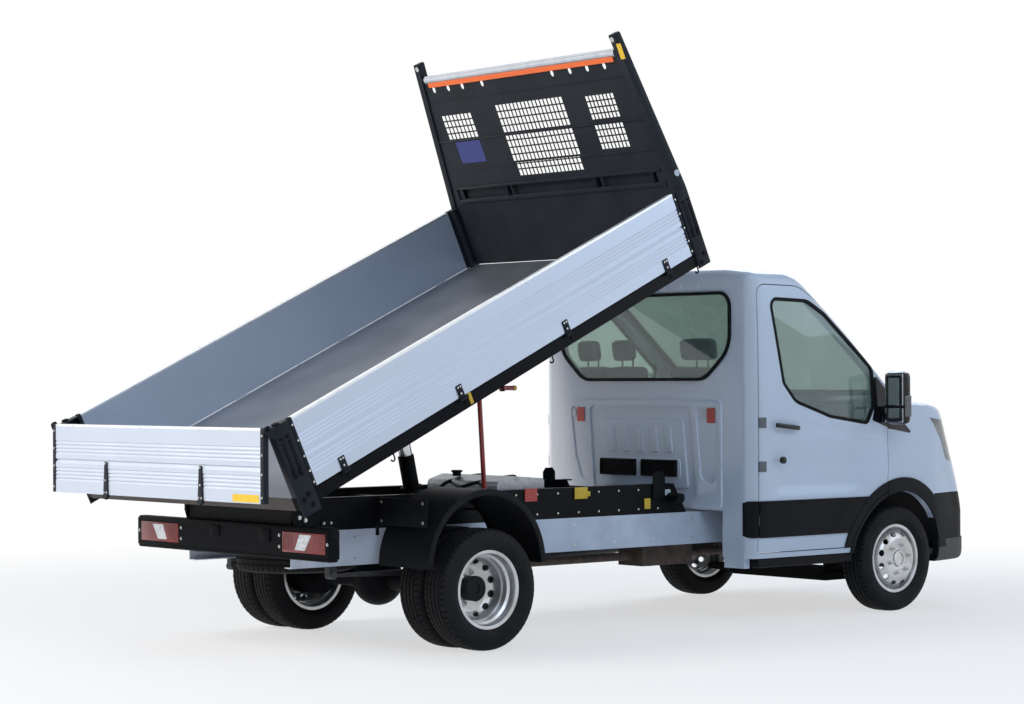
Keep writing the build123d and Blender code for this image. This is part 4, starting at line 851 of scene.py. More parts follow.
grille = cut(wall("grille", -44, -8),
             [plain_box((NOSE_X, AHEAD), (-584.5, 584.5), (BUMPER_TOP + 8.5, 1059.5))],
             "INTERSECT")
cut(grille, [bonnet_prism(6)] + [plain_box((NOSE_X, AHEAD), (-520, 520), (797 + 90 * i, 852 + 90 * i))
                                 for i in range(3)])
dressed(smooth(grille), black_plastic, "chassis", ["grille"]).name = "front_grille"
# the foot of the bumper stands out a little and is worn; a bare plate sits on the middle
skirt = cut(wall("skirt", -6, 7), [plain_box((3860, AHEAD), WIDE, (300, 446))], "INTERSECT")
cut(skirt, [plain_box((NOSE_X, 4700), (-430, 430), (430, 610)), wheel_arch(-1), wheel_arch(1)])
worn_plastic = surface("worn_black_plastic", (0.052, 0.046, 0.043), 0.6, mottle=0.25, spots=14, pits=0.25,
                       pit_size=500)
dressed(smooth(skirt), worn_plastic, "chassis").name = "bumper_skirt"
plate_seat = slab((4522, -262, 478), (4529, 262, 592), 6)
dressed(plate_seat, plain_patch, "chassis").name = "bare_front_plate"

# ------------------------------------------------------------------ arch lips and side mouldings
# Black moulded lips clip round both front wheel arches, and a black cover fills the corner
# between each mirror, the bonnet and the wing. They follow the skin and stand proud of it.
front_lips, arch_lips, covers, liners = [], [], [], []
cover_rows = [(3347, 1186, 4), (3608, 1150, 8), (3470, 1250, 30), (3347, 1462, 6)]
for side, hand in ((-1, "right"), (1, "left")):
    ring = cut(wall("lip", -6, 11), [wheel_arch(side, 527, 820, 1260)], "INTERSECT")
    cut(ring, [wheel_arch(side, 437), plain_box((2800, 4200), WIDE, (200, 396))])
    alone(ring)
    bpy.ops.object.duplicate()
    on_wing = bpy.context.object
    cut(on_wing, [plain_box((2800, CAB_FRONT + 3), WIDE, (0, 2000))])
    front_lips.append(on_wing)
    cut(ring, [plain_box((CAB_FRONT - 3, 4200), WIDE, (0, 2000))])
    alone(ring)
    bpy.ops.object.duplicate()
    inner_ring = bpy.context.object
    cut(ring, [wheel_arch(side, 469), plain_box((2800, 3062), WIDE, (0, 440))])
    dressed(smooth(ring), black_plastic, f"door_{hand}").name = f"{hand}_door_arch_lip"
    cut(inner_ring, [wheel_arch(side, 463, 820, 1260)], "INTERSECT")
    arch_lips.append(inner_ring)
    covers.append(cut(wall("cover", -6, 4), [side_prism(cover_rows, side, 0, 700)], "INTERSECT"))
dressed(smooth(joined(front_lips + arch_lips, "arch_lips")), black_plastic, "chassis")
dressed(smooth(joined(covers, "wing_corner_covers")), gloss_black, "chassis")
# dark liners close the wheel wells; scuttle under the windscreen
for side in (-1, 1):
    liner = wheel_arch(side, 452, 545, 935, 64)
    cut(liner, [wheel_arch(side, 446, 540, 1000, 64), plain_box((2900, 4100), WIDE, (-200, 420))])
    liners.append(liner)
dressed(smooth(joined(liners, "wheel_well_liners")), black_plastic, "chassis")
scuttle = cut(wall("scuttle", -30, -10), [plain_box((3560, COWL - 8), (-840, 840), (1310, 1420))],
              "INTERSECT")
dressed(smooth(scuttle), black_plastic, "chassis").name = "screen_scuttle"

# ------------------------------------------------------------------ back wall fittings
# The back of the cab has louvred vents low down and round blanking plugs over the window.
# White corner legs carry it to the sills.
BLADE_LEAN = -28.648
louvres = []
for left, right in ((-326, -3), (48, 382)):
    frame_of_vent = slab((2118, left, 890), (2150, right, 998), 7)
    cut(frame_of_vent, [plain_box((2110, 2133), (left + 10, right - 10), (900, 988))])
    blades = []
    for i in range(6):
        blade = slab((2121, left + 8, 904 + 15 * i), (2134, right - 8, 907 + 15 * i))
        blade.data.transform(turned_at(2127, 905.5 + 15 * i, BLADE_LEAN))
        blades.append(blade)
    louvres += [frame_of_vent] + blades
dressed(joined(louvres, "rear_vents"), black_plastic, "chassis")
plugs = [round_bar((2126, y, 2084), (2132, y, 2084), 21, 24, 2.5)
         for y in (-513, -357, -208, -53, 208, 357, 513)]
dressed(smooth(joined(plugs, "blanking_plugs")), white_paint, "chassis")
# pressed relief of the deep panel: a middle and two side beads lie between raised ridges, and
# a stiffer trapezoid with five ribs stands out of the middle
PANEL_X = 2152.0            # floor of the deep panel


def pressed(rows, proud, corner=5.0, holes=()):
    """A raised part of the panel from an outline across the wall, with rolled edges."""
    made = prism(rounded(anticlockwise(rows)), "x", PANEL_X - proud, PANEL_X + 6)
    cut(made, [prism(rounded(anticlockwise(hole)), "x", PANEL_X - 40, PANEL_X + 40) for hole in holes])
    return finish_with(made, "BEVEL", width=corner / 1000, segments=3, limit_method="ANGLE",
                       angle_limit=math.radians(50))


middle_rows = [(510, 1338, 45), (-432, 1338, 45), (-486, 745, 40), (455, 745, 40)]
bead_left = [(690, 1334, 40), (524, 1334, 30), (478, 900, 60), (530, 852, 50), (580, 852, 60),
             (640, 1000, 60)]
bead_right = [(-478, 1332, 30), (-672, 1334, 40), (-690, 1000, 60), (-650, 852, 60), (-590, 852, 50),
              (-520, 890, 50)]
ridges = pressed([(702, 1376, 30), (-702, 1376, 30), (-702, 700, 30), (702, 700, 30)], 9, 5,
                 (middle_rows, bead_left, bead_right))
trapezoid = pressed([(412, 1256, 40), (-367, 1257, 40), (-416, 820, 30), (372, 820, 30)], 12, 8)
ribs = [pressed([(y, 1215, 22), (y - 68, 1215, 22), (y - 88, 1042, 10), (y - 26, 1042, 10)], 21, 7)
        for y in (326, 196, 66, -65, -196)]
vent_rims = [pressed([(a, 1004, 30), (b, 1004, 30), (b - 4, 880, 30), (a - 4, 880, 30)], 18, 5)
             for a, b in ((388, 20), (14, -352))]
pressings = joined([ridges, trapezoid] + ribs + vent_rims, "back_wall_pressings")
dressed(smooth(pressings, 30), white_paint, "chassis")
roundels = [round_bar((2150.5, y, 1288), (2153, y, 1288), 29, 28) for y in (667, -537)]
dressed(joined(roundels, "plain_round_labels"), plain_patch, "chassis")
red_labels = [slab((2150.5, y - 34, 1234), (2153, y + 34, 1326)) for y in (596, -608)]
dressed(joined(red_labels, "plain_red_labels"), red_patch, "chassis")
steps = []
for side in (-1, 1):
    low, high = off_side(side, 893, 952)
    board = slab((2212, low, 344), (3066, high, 399), 9)
    treads = [slab((2230 + 27 * i, low + 8, 397), (2242 + 27 * i, high - 8, 402.5)) for i in range(31)]
    steps += [board] + treads
dressed(joined(steps, "sill_boards"), black_plastic, "chassis", ["sill_steps"])

# ------------------------------------------------------------------ door mirrors
# Each mirror is a black housing with a large flat glass over a small wide-angle glass, facing
# back, and a clear indicator on its outer edge. Two arms hold it to the door.
MIRROR_Y = 1.150            # middle of a housing from the middle of the truck, metres
mirror_glass = surface("mirror_glass", (0.55, 0.6, 0.64), 0.03, metal=1.0, mottle=0.06, spots=9)
indicator = glass("indicator_lens", (0.85, 0.83, 0.8))


def moved_out(obj, y):
    """Move a piece across the truck, in metres."""
    obj.data.transform(Matrix.Translation((0, y, 0)))
    return obj


for side, hand in ((-1, "right"), (1, "left")):
    housing = moved_out(slab((3246, -90, 1213), (3326, 90, 1552), 36), side * MIRROR_Y)
    alone(housing)
    bpy.ops.object.mode_set(mode="EDIT")
    bpy.ops.mesh.select_all(action="DESELECT")
    bpy.ops.object.mode_set(mode="OBJECT")
    rear_x = at(3247, 0, 0).x
    for face in housing.data.polygons:
        face.select = face.normal.x < -0.9 and abs(face.center.x - rear_x) < 0.003
    bpy.ops.object.mode_set(mode="EDIT")
    bpy.ops.mesh.select_mode(type="FACE")
    bpy.ops.mesh.inset(thickness=0.006)
    bpy.ops.mesh.extrude_region_move(TRANSFORM_OT_translate={"value": (0.012, 0, 0)})
    bpy.ops.object.mode_set(mode="OBJECT")
    arm = moved_out(slab((3262, -60, 1262), (3308, 60, 1318), 14), side * 1.072)
    stalk = moved_out(slab((3266, -14, 1222), (3300, 14, 1330), 8), side * 1.034)
    dressed(smooth(joined([housing, arm, stalk], f"{hand}_mirror_housing"), 40), gloss_black, f"door_{hand}",
            [f"mirror_{hand}"])
    panes = []
    for low, high in ((1336, 1534), (1228, 1318)):
        panes.append(moved_out(slab((3250, -74, low), (3255, 74, high), 2), side * MIRROR_Y))
    divider = moved_out(slab((3247, -80, 1321), (3258, 80, 1332), 2), side * MIRROR_Y)
    dressed(divider, black_plastic, f"door_{hand}").name = f"{hand}_mirror_divider"
    dressed(joined(panes, f"{hand}_mirror_glass"), mirror_glass, f"door_{hand}")
    lens = moved_out(slab((3256, -5, 1262), (3314, 6, 1398), 5), side * 1.238)
    dressed(lens, indicator, f"door_{hand}").name = f"{hand}_mirror_indicator"

# ------------------------------------------------------------------ cab inside
# Three cloth seats on steel bases, a moulded dashboard and a steering wheel. The seats are sewn covers drawn
# over foam.
cloth = surface("seat_cloth", (0.05, 0.052, 0.056), 0.9, mottle=0.25, spots=160, pits=0.4, pit_size=900)
dash_plastic = surface("grey_dashboard", (0.045, 0.047, 0.05), 0.6, mottle=0.1, spots=30, pits=0.3,
                       pit_size=900)
pads, bases = [], []
for middle, width in ((-450.0, 520.0), (235.0, 440.0), (565.0, 440.0)):
    wide = width / 2 - (0 if middle < 0 else 60)
    cushion = slab((2300, middle - wide, 1050), (2780, middle + wide, 1160), 28)
    back = slab((2250, middle - wide, 1180), (2352, middle + wide, 1600), 30)
    lean = turned_at(2330, 1170, -9)
    back.data.transform(lean)
    head = slab((2250, middle - wide * 0.55, 1640), (2330, middle + wide * 0.55, 1775), 26)
    head.data.transform(lean)
    pads.append((cushion, back, head, middle))
    bases.append(slab((2340, middle - wide + 40, 722), (2740, middle + wide - 40, 1046), 10))
    bases += [round_bar((2243, middle + dy, 1570), (2238, middle + dy, 1680), 6, 10) for dy in (-50, 50)]


def filled(block, name):
    """Foam and cover: remeshed evenly and blown up a little, so that it swells between its edges."""
    finish_with(block, "REMESH", mode="VOXEL", voxel_size=0.016)
    alone(block)
    cloth_step = block.modifiers.new("cloth", "CLOTH")
    cloth_step.settings.use_pressure = True
    cloth_step.settings.uniform_pressure_force = 3
    cloth_step.settings.effector_weights.gravity = 0
    cloth_step.settings.quality = 4
    rest = np.zeros(len(block.data.vertices) * 3)
    block.data.vertices.foreach_get("co", rest)
    for moment in range(1, 9):
        bpy.context.scene.frame_set(moment)
    bpy.ops.object.modifier_apply(modifier=cloth_step.name)
    bpy.context.scene.frame_set(1)
    blown = np.zeros_like(rest)
    block.data.vertices.foreach_get("co", blown)
    step = (blown - rest).reshape(-1, 3)
    size = np.linalg.norm(step, axis=1)
    step *= (np.minimum(size, 0.016) / np.maximum(size, 1e-9))[:, None]
    block.data.vertices.foreach_set("co", rest + step.ravel())
    block.data.update()
    block.name = name
    return smooth(block, 60)


for i, (cushion, back, head, middle) in enumerate(pads):
    for part, kind in ((cushion, "cushion"), (back, "backrest"), (head, "headrest")):
        dressed(filled(part, f"seat_{i + 1}_{kind}"), cloth, "chassis",
                ["seats"] if i == 0 and kind == "cushion" else ())
dressed(smooth(joined(bases, "seat_bases")), black_steel, "chassis")
dash = prism(rounded([(3060, 1000, 40), (3130, 900, 20), (3290, 900, 0), (3290, 1325, 0), (3200, 1335, 40),
                      (3044, 1240, 50)][::-1]), "y", -866, 866)
dash_vents = [slab((3040, y - 60, 1176), (3058, y + 60, 1222), 6) for y in (-740, -120, 120, 740)]
column = round_bar((2900, 450, 1230), (3086, 450, 1139), 30, 20)
dressed(smooth(joined([dash, column] + dash_vents, "dash_board")), dash_plastic, "chassis",
        ["dashboard"])
bpy.ops.object.select_all(action="DESELECT")
bpy.ops.mesh.primitive_torus_add(major_radius=0.185, minor_radius=0.0135,
                                 major_segments=48, minor_segments=12)
wheel_rim = bpy.context.object
spokes = []
for turn in (0, 125, 235):
    bpy.ops.mesh.primitive_cube_add(size=1, location=(0.09, 0, 0), scale=(0.17, 0.028, 0.010))
    spoke = bpy.context.object
    bpy.ops.object.transform_apply(location=True, rotation=True, scale=True)
    spoke.data.transform(Matrix.Rotation(math.radians(turn + 90), 4, "Z"))
    spokes.append(spoke)
bpy.ops.mesh.primitive_cylinder_add(vertices=28, radius=0.062, depth=0.03)
hand_wheel = joined([wheel_rim, bpy.context.object] + spokes, "hand_wheel")
hand_wheel.data.transform(standing(2890, 450, 1235, (0.894, 0, -0.447)))
dressed(smooth(hand_wheel), dash_plastic, "chassis", ["steering_wheel"])

# ------------------------------------------------------------------ bed floor and frame
# The tipping bed is a welded steel frame with a worn sheet floor. It is modelled flat, with
# lengths from the foot of the side boards, and then tipped about its rear pivots.
BED_X, BED_Z, BED_TIP = -1239.6, 946.9, 24.85
STRAPS = (227, 1112, 1975, 2850)    # places of the hinge straps along a side board
POST_OUT = 1068             # outer face of the rear posts from the middle
BED_REAR, BED_FRONT = -118, 3136    # ends of the bed's frame
UNDER_RAILS = -75           # foot of the side rails and the top of the runners


def lean_back(x, y, z, degrees):
    """Carry a model from the rear axle's foot to a point, and tip it back there."""
    return (Matrix.Translation(at(x, y, z)) @ Matrix.Rotation(-math.radians(degrees), 4, "Y")
            @ Matrix.Translation(-at(0, 0, 0)))


tipping = lean_back(BED_X, 0, BED_Z, BED_TIP)
charcoal = surface("charcoal_paint", (0.019, 0.022, 0.027), 0.4, mottle=0.14, spots=5, pits=0.12,
                   pit_size=600, gloss=0.1)
bed_black = surface("black_bed_paint", (0.007, 0.0075, 0.009), 0.45, mottle=0.2, spots=9, pits=0.1,
                    pit_size=500, gloss=0.07)
brown_primer = surface("brown_underside", (0.075, 0.058, 0.048), 0.6, mottle=0.25, spots=7)


def bedded(obj):
    """Tip a piece that is modelled flat with the bed."""
    obj.data.transform(tipping)
    return obj


def brushed(name, colour, roughness, metal, marks=0.25, cloudy=0.1):
    """Bare metal with fine lines drawn along the bed and a cloudy tone."""
    made = surface(name, colour, roughness, metal=metal, mottle=cloudy, spots=3)
    tree = made.node_tree
    place = added(tree, "TexCoord")
    along_bed = added(tree, "Mapping", Rotation=(0, math.radians(BED_TIP), 0), Scale=(0.6, 60, 60))
    tree.links.new(place.outputs["Object"], along_bed.inputs["Vector"])
    raised(tree, along_bed.outputs["Vector"], added(tree, "TexNoise", Scale=4, Detail=4), marks)
    return made


floor_steel = brushed("worn_floor_steel", (0.19, 0.215, 0.25), 0.42, 0.7, 0.35)
aluminium = brushed("brushed_aluminium", (0.59, 0.65, 0.75), 0.36, 0.5, 0.002, 0.01)
bright_rail = surface("bright_aluminium_rail", (0.88, 0.89, 0.9), 0.28, metal=0.6, mottle=0.05, spots=20)
floor_sheet = slab((BED_REAR, -1030, -4), (3141, 1030, 0))
for low, high in ((-130, 1), (3095, 3160)):
    cut(floor_sheet, [plain_box((low, high), span, (-9, 4)) for span in ((-1060, -1011), (1011, 1060))])
dressed(bedded(floor_sheet), floor_steel, "bed", ["bed_floor"]).name = "floor_sheet"
seams = [slab((10, side * 1028 - 3, 0), (3090, side * 1028 + 3, 4), 1) for side in (-1, 1)]
dressed(bedded(joined(seams, "floor_edge_seams")), bright_rail, "bed")
# side rails with four round plugs, cross bars and deep runners
frame_pieces = []
for side in (-1, 1):
    rail = side_slab(side, (BED_REAR, BED_FRONT), (1054, 994), (UNDER_RAILS, -4), 3)
    cut(rail, [plain_box((-130, 3150), off_side(side, 1049, 980), (-70, -9))])
    frame_pieces += [round_bar((u, side * 1050, -42), (u, side * 1058, -42), 13, 24, 2)
                     for u in (245, 1130, 1993, 2868)]
    frame_pieces.append(rail)
for u in (BED_REAR, 300, 660, 1000, 1290, 1620, 1960, 2300, 2640, BED_FRONT - 50):
    frame_pieces.append(slab((u, -1049, UNDER_RAILS), (u + 50, 1049, -4.5), 3))
dressed(smooth(bedded(joined(frame_pieces, "bed_rails_and_bars"))), bed_black, "bed",
        ["bed_frame"])
runners = []
for side in (-1, 1):
    rows = [(205, -164, 40), (BED_FRONT, -164, 3), (BED_FRONT, UNDER_RAILS, 0), (205, UNDER_RAILS, 0)]
    runner = prism(rounded(rows), "y", *off_side(side, 494, 440))
    runners.append(cut(runner, [plain_box((300, 3140), off_side(side, 487, 430), (-157, -82))]))
    runners.append(round_bar((250, side * 440, -120), (250, side * 534, -120), 20, 32, 2))
ears = [prism(rounded([(1340, -76, 0), (1399, -147, 30), (1509, -147, 30), (1620, -76, 0), (1620, -6, 0),
                       (1340, -6, 0)]), "y", *off_side(side, 58, 44)) for side in (-1, 1)]
runners += ears + [round_bar((1454, -64, -92), (1454, 64, -92), 15, 28, 2)]
dressed(smooth(bedded(joined(runners, "bed_runners"))), bed_black, "bed")
lugs = []
for side in (-1, 1):
    for u in STRAPS:
        for gap in (-35, 23):
            lugs.append(side_slab(side, (u + gap, u + gap + 12), (1077, 1052), (-15, -2), 2))
        lugs.append(round_bar((u - 37, side * 1071, -8), (u + 37, side * 1071, -8), 4, 12))
dressed(smooth(bedded(joined(lugs, "side_hinge_lugs"))), bed_black, "bed")
label = slab((1156, -1060, -62), (1178, -1055.5, 2))
dressed(bedded(label), yellow_patch, "bed").name = "bare_yellow_rail_label"
# rope hooks of bent bar under both rails, and a red hand rod with a yellow cap
HOOK_BEND = 13
hooks = []
for side in (-1, 1):
    for u in (560, 1819, 3095):
        path = [(u, -70), (u, -98)]
        for t in range(1, 6):
            turn = t * math.pi / 5
            path.append((u - HOOK_BEND + HOOK_BEND * math.cos(turn), -98 - HOOK_BEND * math.sin(turn)))
        for (u0, w0), (u1, w1) in zip(path, path[1:]):
            hooks.append(round_bar((u0, side * 1046, w0), (u1, side * 1046, w1), 4.5, 10))
dressed(smooth(bedded(joined(hooks, "rope_hooks"))), bed_black, "bed")
red_paint = surface("red_paint", (0.33, 0.018, 0.014), 0.38, mottle=0.25, spots=12, coat=0.3)
yellow_paint = surface("yellow_cap", (0.75, 0.5, 0.04), 0.4, mottle=0.12, spots=30)
rod_plate = slab((1602, -800, -196), (1610, -760, -70), 2)
dressed(bedded(rod_plate), bed_black, "bed").name = "hand_rod_plate"
ROD_Y, ROD_Z = -780, 1462
rod = round_bar((284, ROD_Y, ROD_Z), (378, ROD_Y, ROD_Z), 13, 20)
dressed(smooth(rod), red_paint, "bed").name = "hand_rod"
rod_cap = round_bar((378, ROD_Y, ROD_Z), (398, ROD_Y, ROD_Z), 14.5, 20, 3)
dressed(smooth(rod_cap), yellow_paint, "bed").name = "hand_rod_cap"
# cross-member skirt under the tailgate
skirt = slab((-119.5, -1010, -76), (-70, 1010, -3), 3)
dressed(bedded(skirt), brown_primer, "bed").name = "rear_cross_member_skirt"

# ------------------------------------------------------------------ corner posts
# Folded steel posts stand at the corners. Each outer face has two recessed latch levers and large bolts at
# its foot, three on a rear post and two on a front one, and the rear pair carry the tailgate's hinge lugs.
lug_rows = [(-161, 383, 14), (-161, 425, 16), (-123, 425, 12), (-117, 400, 0), (-117, 340, 0)]
posts, levers, foot_bolts = [], [], []
for side in (-1, 1):
    for rear, u0, u1 in ((True, BED_REAR, 0), (False, 3096, 3196)):
        out = POST_OUT if rear else POST_OUT - 2
        foot = -115 if rear else -90
        post = side_slab(side, (u0, u1), (out, 1012), (foot, 400), 4)
        a, b = off_side(side, out - 5, 1000)
        cut(post, [plain_box((u0 + 5, u1 - 5), (a, b), (foot - 5 if rear else 0, 395))])
        a, b = off_side(side, 1054, 1000)
        cut(post, [plain_box((u0 - 1, u1 + 1), (a, b), (foot - 5, 0))])
        for left in (u0 + 22, u0 + 64):
            cut(post, [side_slab(side, (left, left + 26), (out - 2.5, out + 4), (96, 330), 2)])
            levers.append(side_slab(side, (left + 7, left + 19), (out - 4, out - 0.5), (130, 300), 1.5))
            c, d = off_side(side, out - 4, out + 5)
            levers.append(slab((left + 1, c, 100), (left + 25, d, 146), 3))
            levers.append(slab((left + 2, c, 316), (left + 24, d - 2 if side > 0 else d, 328), 2))
        posts.append(post)
        for du, w in (((36, -28), (72, -10), (78, -72)) if rear else ((30, -62), (70, -20))):
            foot_bolts.append((u0 + du, side * out, w, (0, side, 0)))
        if rear:
            lug = prism(rounded(lug_rows), "y", *off_side(side, POST_OUT, 1063))
            a, b = off_side(side, POST_OUT, 1032)
            posts += [lug, round_bar((-141, a, 405), (-141, b, 405), 8, 20)]
            levers.append(side_slab(side, (u0 + 30, u0 + 60), (POST_OUT, 1030), (398, 412), 4))
dressed(smooth(bedded(joined(posts, "folded_corner_posts"))), charcoal, "bed",
        ["corner_posts"])
dressed(smooth(bedded(joined(levers, "latch_levers"))), bed_black, "bed")
dressed(bedded(bolts(foot_bolts, 11, 6, "post_foot_bolts")), black_steel, "bed")

# ------------------------------------------------------------------ headboard
# A folded sheet between two leaning posts guards the cab. Windows of punched holes let light
# through, a load-cover roll lies along the top over an orange strip, and a deep slot runs low down.
EYE_V, EYE_W = 914, 1356    # eye near the top of each leaning post
OVAL_W = 1204               # row of oval holes under the orange strip
THROUGH = (3140, 3160)      # span of the cutters that pass through the sheet
stanchions = []
for side in (-1, 1):
    rows = [(1064, 400, 0), (1019, 400, 0), (893, 1387, 12), (938, 1387, 12)]
    post = prism(rounded(anticlockwise([(side * y, z, r) for y, z, r in rows])), "x", 3138, 3196)
    cut(post, [round_bar((3130, side * EYE_V, EYE_W), (3200, side * EYE_V, EYE_W), 12, 20)])
    stanchions.append(finish_with(post, "BEVEL", width=0.003, segments=2, limit_method="ANGLE"))
sheet_rows = [(-1011.7, 0, 0), (1011.7, 0, 0), (1011.7, 400, 0), (1019, 400, 0), (905, 1290, 0),
              (-905, 1290, 0), (-1019, 400, 0), (-1011.7, 400, 0)]
sheet = prism(rounded(sheet_rows), "x", 3150, 3153)
windows = [(-315, 315, 866, 1056, 18, 4), (-315, 315, 674, 862, 18, 4), (-300, 300, 574, 669, 17, 2),
           (561, 856, 860, 1029, 8, 4), (-765, -512, 881, 1038, 8, 4), (-765, -512, 689, 858, 8, 4)]
cut(sheet, [plain_box(THROUGH, (v0, v1), (w0, w1)) for v0, v1, w0, w1, _, _ in windows])
cut(sheet, [plain_box(THROUGH, (left + 8, right - 8), (456, 520))
            for left, right in ((-910, -420), (-420, 420), (420, 910))])
ovals = []
for v in (835, 693, 553, 360, -300, -460, -614, -765):
    oval = round_bar((THROUGH[0], v, OVAL_W), (THROUGH[1], v, OVAL_W), 14, 20)
    middle = at(0, v, OVAL_W)
    oval.data.transform(Matrix.Translation(middle) @ Matrix.Diagonal((1, 1, 1.5, 1))
                        @ Matrix.Translation(-middle))
    ovals.append(oval)
cut(sheet, ovals)


def punched(v0, v1, w0, w1, columns, rows):
    """A window of rectangular holes punched through the sheet."""
    bpy.ops.object.select_all(action="DESELECT")
    bpy.ops.mesh.primitive_grid_add(x_subdivisions=columns, y_subdivisions=rows, size=1)
    made = bpy.context.object
    made.data.transform(Matrix.Diagonal(((v1 - v0) / 1000, (w1 - w0) / 1000, 1, 1)))
    bpy.ops.object.mode_set(mode="EDIT")
    bpy.ops.mesh.select_all(action="SELECT")
    bpy.ops.mesh.inset(thickness=0.0042, use_individual=True)
    bpy.ops.mesh.delete(type="FACE")
    bpy.ops.object.mode_set(mode="OBJECT")
    stand = Matrix(((0, 0, 1, 0), (1, 0, 0, 0), (0, 1, 0, 0), (0, 0, 0, 1)))
    made.data.transform(Matrix.Translation(at(3151.5, (v0 + v1) / 2, (w0 + w1) / 2)) @ stand)
    return finish_with(made, "SOLIDIFY", thickness=0.003, offset=0)


grids = [punched(*window) for window in windows]
folds = [slab((3142, -905, 1256), (3180, 905, 1290), 3), slab((3142, -950, 522), (3180, 950, 540), 2),
         slab((3142, -960, 426), (3180, 960, 454), 2), slab((3146, -940, 1122), (3152, 940, 1128), 1.5),
         slab((3145, -975, 655), (3152, 975, 662), 1.5), slab((3143, -960, 848), (3151, 960, 862), 2),
         slab((3176, -950, 450), (3180, 950, 526))]
for v in (948, 455, -373, -877):
    folds.append(slab((3138, v - 3, 452), (3178, v + 3, 524), 1))
dressed(smooth(bedded(joined([sheet] + stanchions + grids + folds, "headboard_frame"))), charcoal, "bed",
        ["headboard"])
orange = surface("orange_strip", (0.86, 0.16, 0.035), 0.5, mottle=0.06, spots=30)
pale_roll = surface("pale_grey_roll", (0.55, 0.57, 0.6), 0.6, mottle=0.08, spots=14, pits=0.2, pit_size=300)
blue_patch = surface("blue_patch", (0.02, 0.03, 0.18), 0.4, mottle=0.1, spots=40)
dressed(bedded(slab((3141, -866, 1222), (3150, 866, 1254), 3)), orange, "bed").name = "orange_strip"
roll = round_bar((3161, -888, 1273), (3161, 888, 1273), 24, 28)
dressed(smooth(bedded(roll)), pale_roll, "bed").name = "load_cover_roll"
dressed(bedded(slab((3148.5, 565, 696), (3150.5, 805, 842))), blue_patch, "bed").name = "bare_blue_plate"
label = slab((3136.8, -975, 1232), (3138.5, -938, 1328))
dressed(bedded(label), yellow_patch, "bed").name = "bare_yellow_plate"
roundel = round_bar((3170, -1052, 495), (3170, -1055.5, 495), 20, 28)
dressed(bedded(roundel), plain_patch, "bed").name = "bare_roundel"
post_tops = [round_bar((3137, side * EYE_V, EYE_W), (3139, side * EYE_V, EYE_W), 16, 20)
             for side in (-1, 1)]
dressed(bedded(joined(post_tops, "post_top_rings")), zinc, "bed")

# ------------------------------------------------------------------ dropsides
# Each dropside is two aluminium extrusions, finely grooved and locked together, with a bright
# top rail, dark riveted end caps and four short hinge straps.
FINE_GROOVES = (0.20, 0.255, 0.31, 0.365, 0.60, 0.655, 0.71, 0.765)     # shares of a board's height
DEEP_GROOVE = 0.478


def board_section(outer, inner, low, high, way):
    """Outline of a grooved hollow board: fine grooves in two bands, one deep groove between.

    Each groove has a steep upper flank in shade and a gentle lower one that catches the light."""
    height = high - low
    grooves = [(low + height * share, 7.0, 4.5) for share in FINE_GROOVES]
    grooves.append((low + height * DEEP_GROOVE, 13.0, 9.0))
    face = []
    for spot, half, depth in sorted(grooves):
        face += [(outer, spot - half), (outer - way * depth, spot + half * 0.45),
                 (outer - way * depth, spot + half * 0.75), (outer, spot + half)]
    return [(outer, low)] + face + [(outer, high), (inner, high), (inner, low)]


for side, hand in ((-1, "right"), (1, "left")):
    body = f"side_{hand}"
    section = board_section(side * 1060, side * 1031, 5, 386, side)
    board = prism(anticlockwise(section), "x", 24, 3072)
    board.name = f"{hand}_dropside"
    dressed(bedded(board), aluminium, body, [f"side_panel_{hand}"])
    low, high = off_side(side, 1062, 1029.5)
    top = slab((24, low, 384), (3072, high, 401), 4)
    dressed(smooth(bedded(top)), bright_rail, body).name = f"{hand}_dropside_rail"
    caps = [slab((5, low, 5), (27, high, 402), 2), slab((3069, low, 5), (3091, high, 402), 2)]
    straps = []
    for u in STRAPS:
        straps.append(side_slab(side, (u - 22, u + 22), (1066, 1059), (4, 75), 2.5))
        straps.append(round_bar((u - 22, side * 1071, -8), (u + 22, side * 1071, -8), 8, 20))
        straps.append(side_slab(side, (u - 22, u + 22), (1067, 1062), (-6, 12), 1.5))
    dressed(smooth(bedded(joined(caps + straps, f"{hand}_dropside_fittings"))), charcoal, body)
    spots = [(u, side * 1062, w, (0, side, 0)) for u in (16, 3080) for w in (30, 95, 180, 270, 360)]
    spots += [(u + du, side * 1066, w, (0, side, 0)) for u in STRAPS
              for du, w in ((-9, 62), (9, 62), (0, 24))]
    dressed(bedded(bolts(spots, 4.5, 3, f"{hand}_dropside_rivets")), zinc, body)

# ------------------------------------------------------------------ tailgate
# The tailgate is the same grooved board, hung from pins near its top, with dark end caps and
# two long tapered straps whose hooks lock its foot to the bed when it is shut.
GATE_X, GATE_Z = -1537.7, 1255.1
section = board_section(GATE_X - 14.5, GATE_X + 14.5, GATE_Z - 382, GATE_Z - 4, -1)
gate = prism(anticlockwise(section)[::-1], "y", -1028, 1028)
dressed(gate, aluminium, "tailgate", ["tailgate"]).name = "tailgate_board"
rail = slab((GATE_X - 15.5, -1028, GATE_Z - 6), (GATE_X + 15.5, 1028, GATE_Z + 10.5), 4)
dressed(smooth(rail), bright_rail, "tailgate").name = "tailgate_rail"
fittings, gate_rivets = [], []
for side in (-1, 1):
    cap = side_slab(side, (GATE_X - 17, GATE_X + 16), (1055, 1025), (GATE_Z - 382, GATE_Z + 11), 2)
    a, b = off_side(side, 1060, 1029)
    cut(cap, [round_bar((GATE_X, a, GATE_Z), (GATE_X, b, GATE_Z), 9.5, 24)])
    fittings.append(cap)
    gate_rivets += [(GATE_X - 17, side * 1040, GATE_Z + w, (-1, 0, 0)) for w in (-30, -130, -230, -350)]
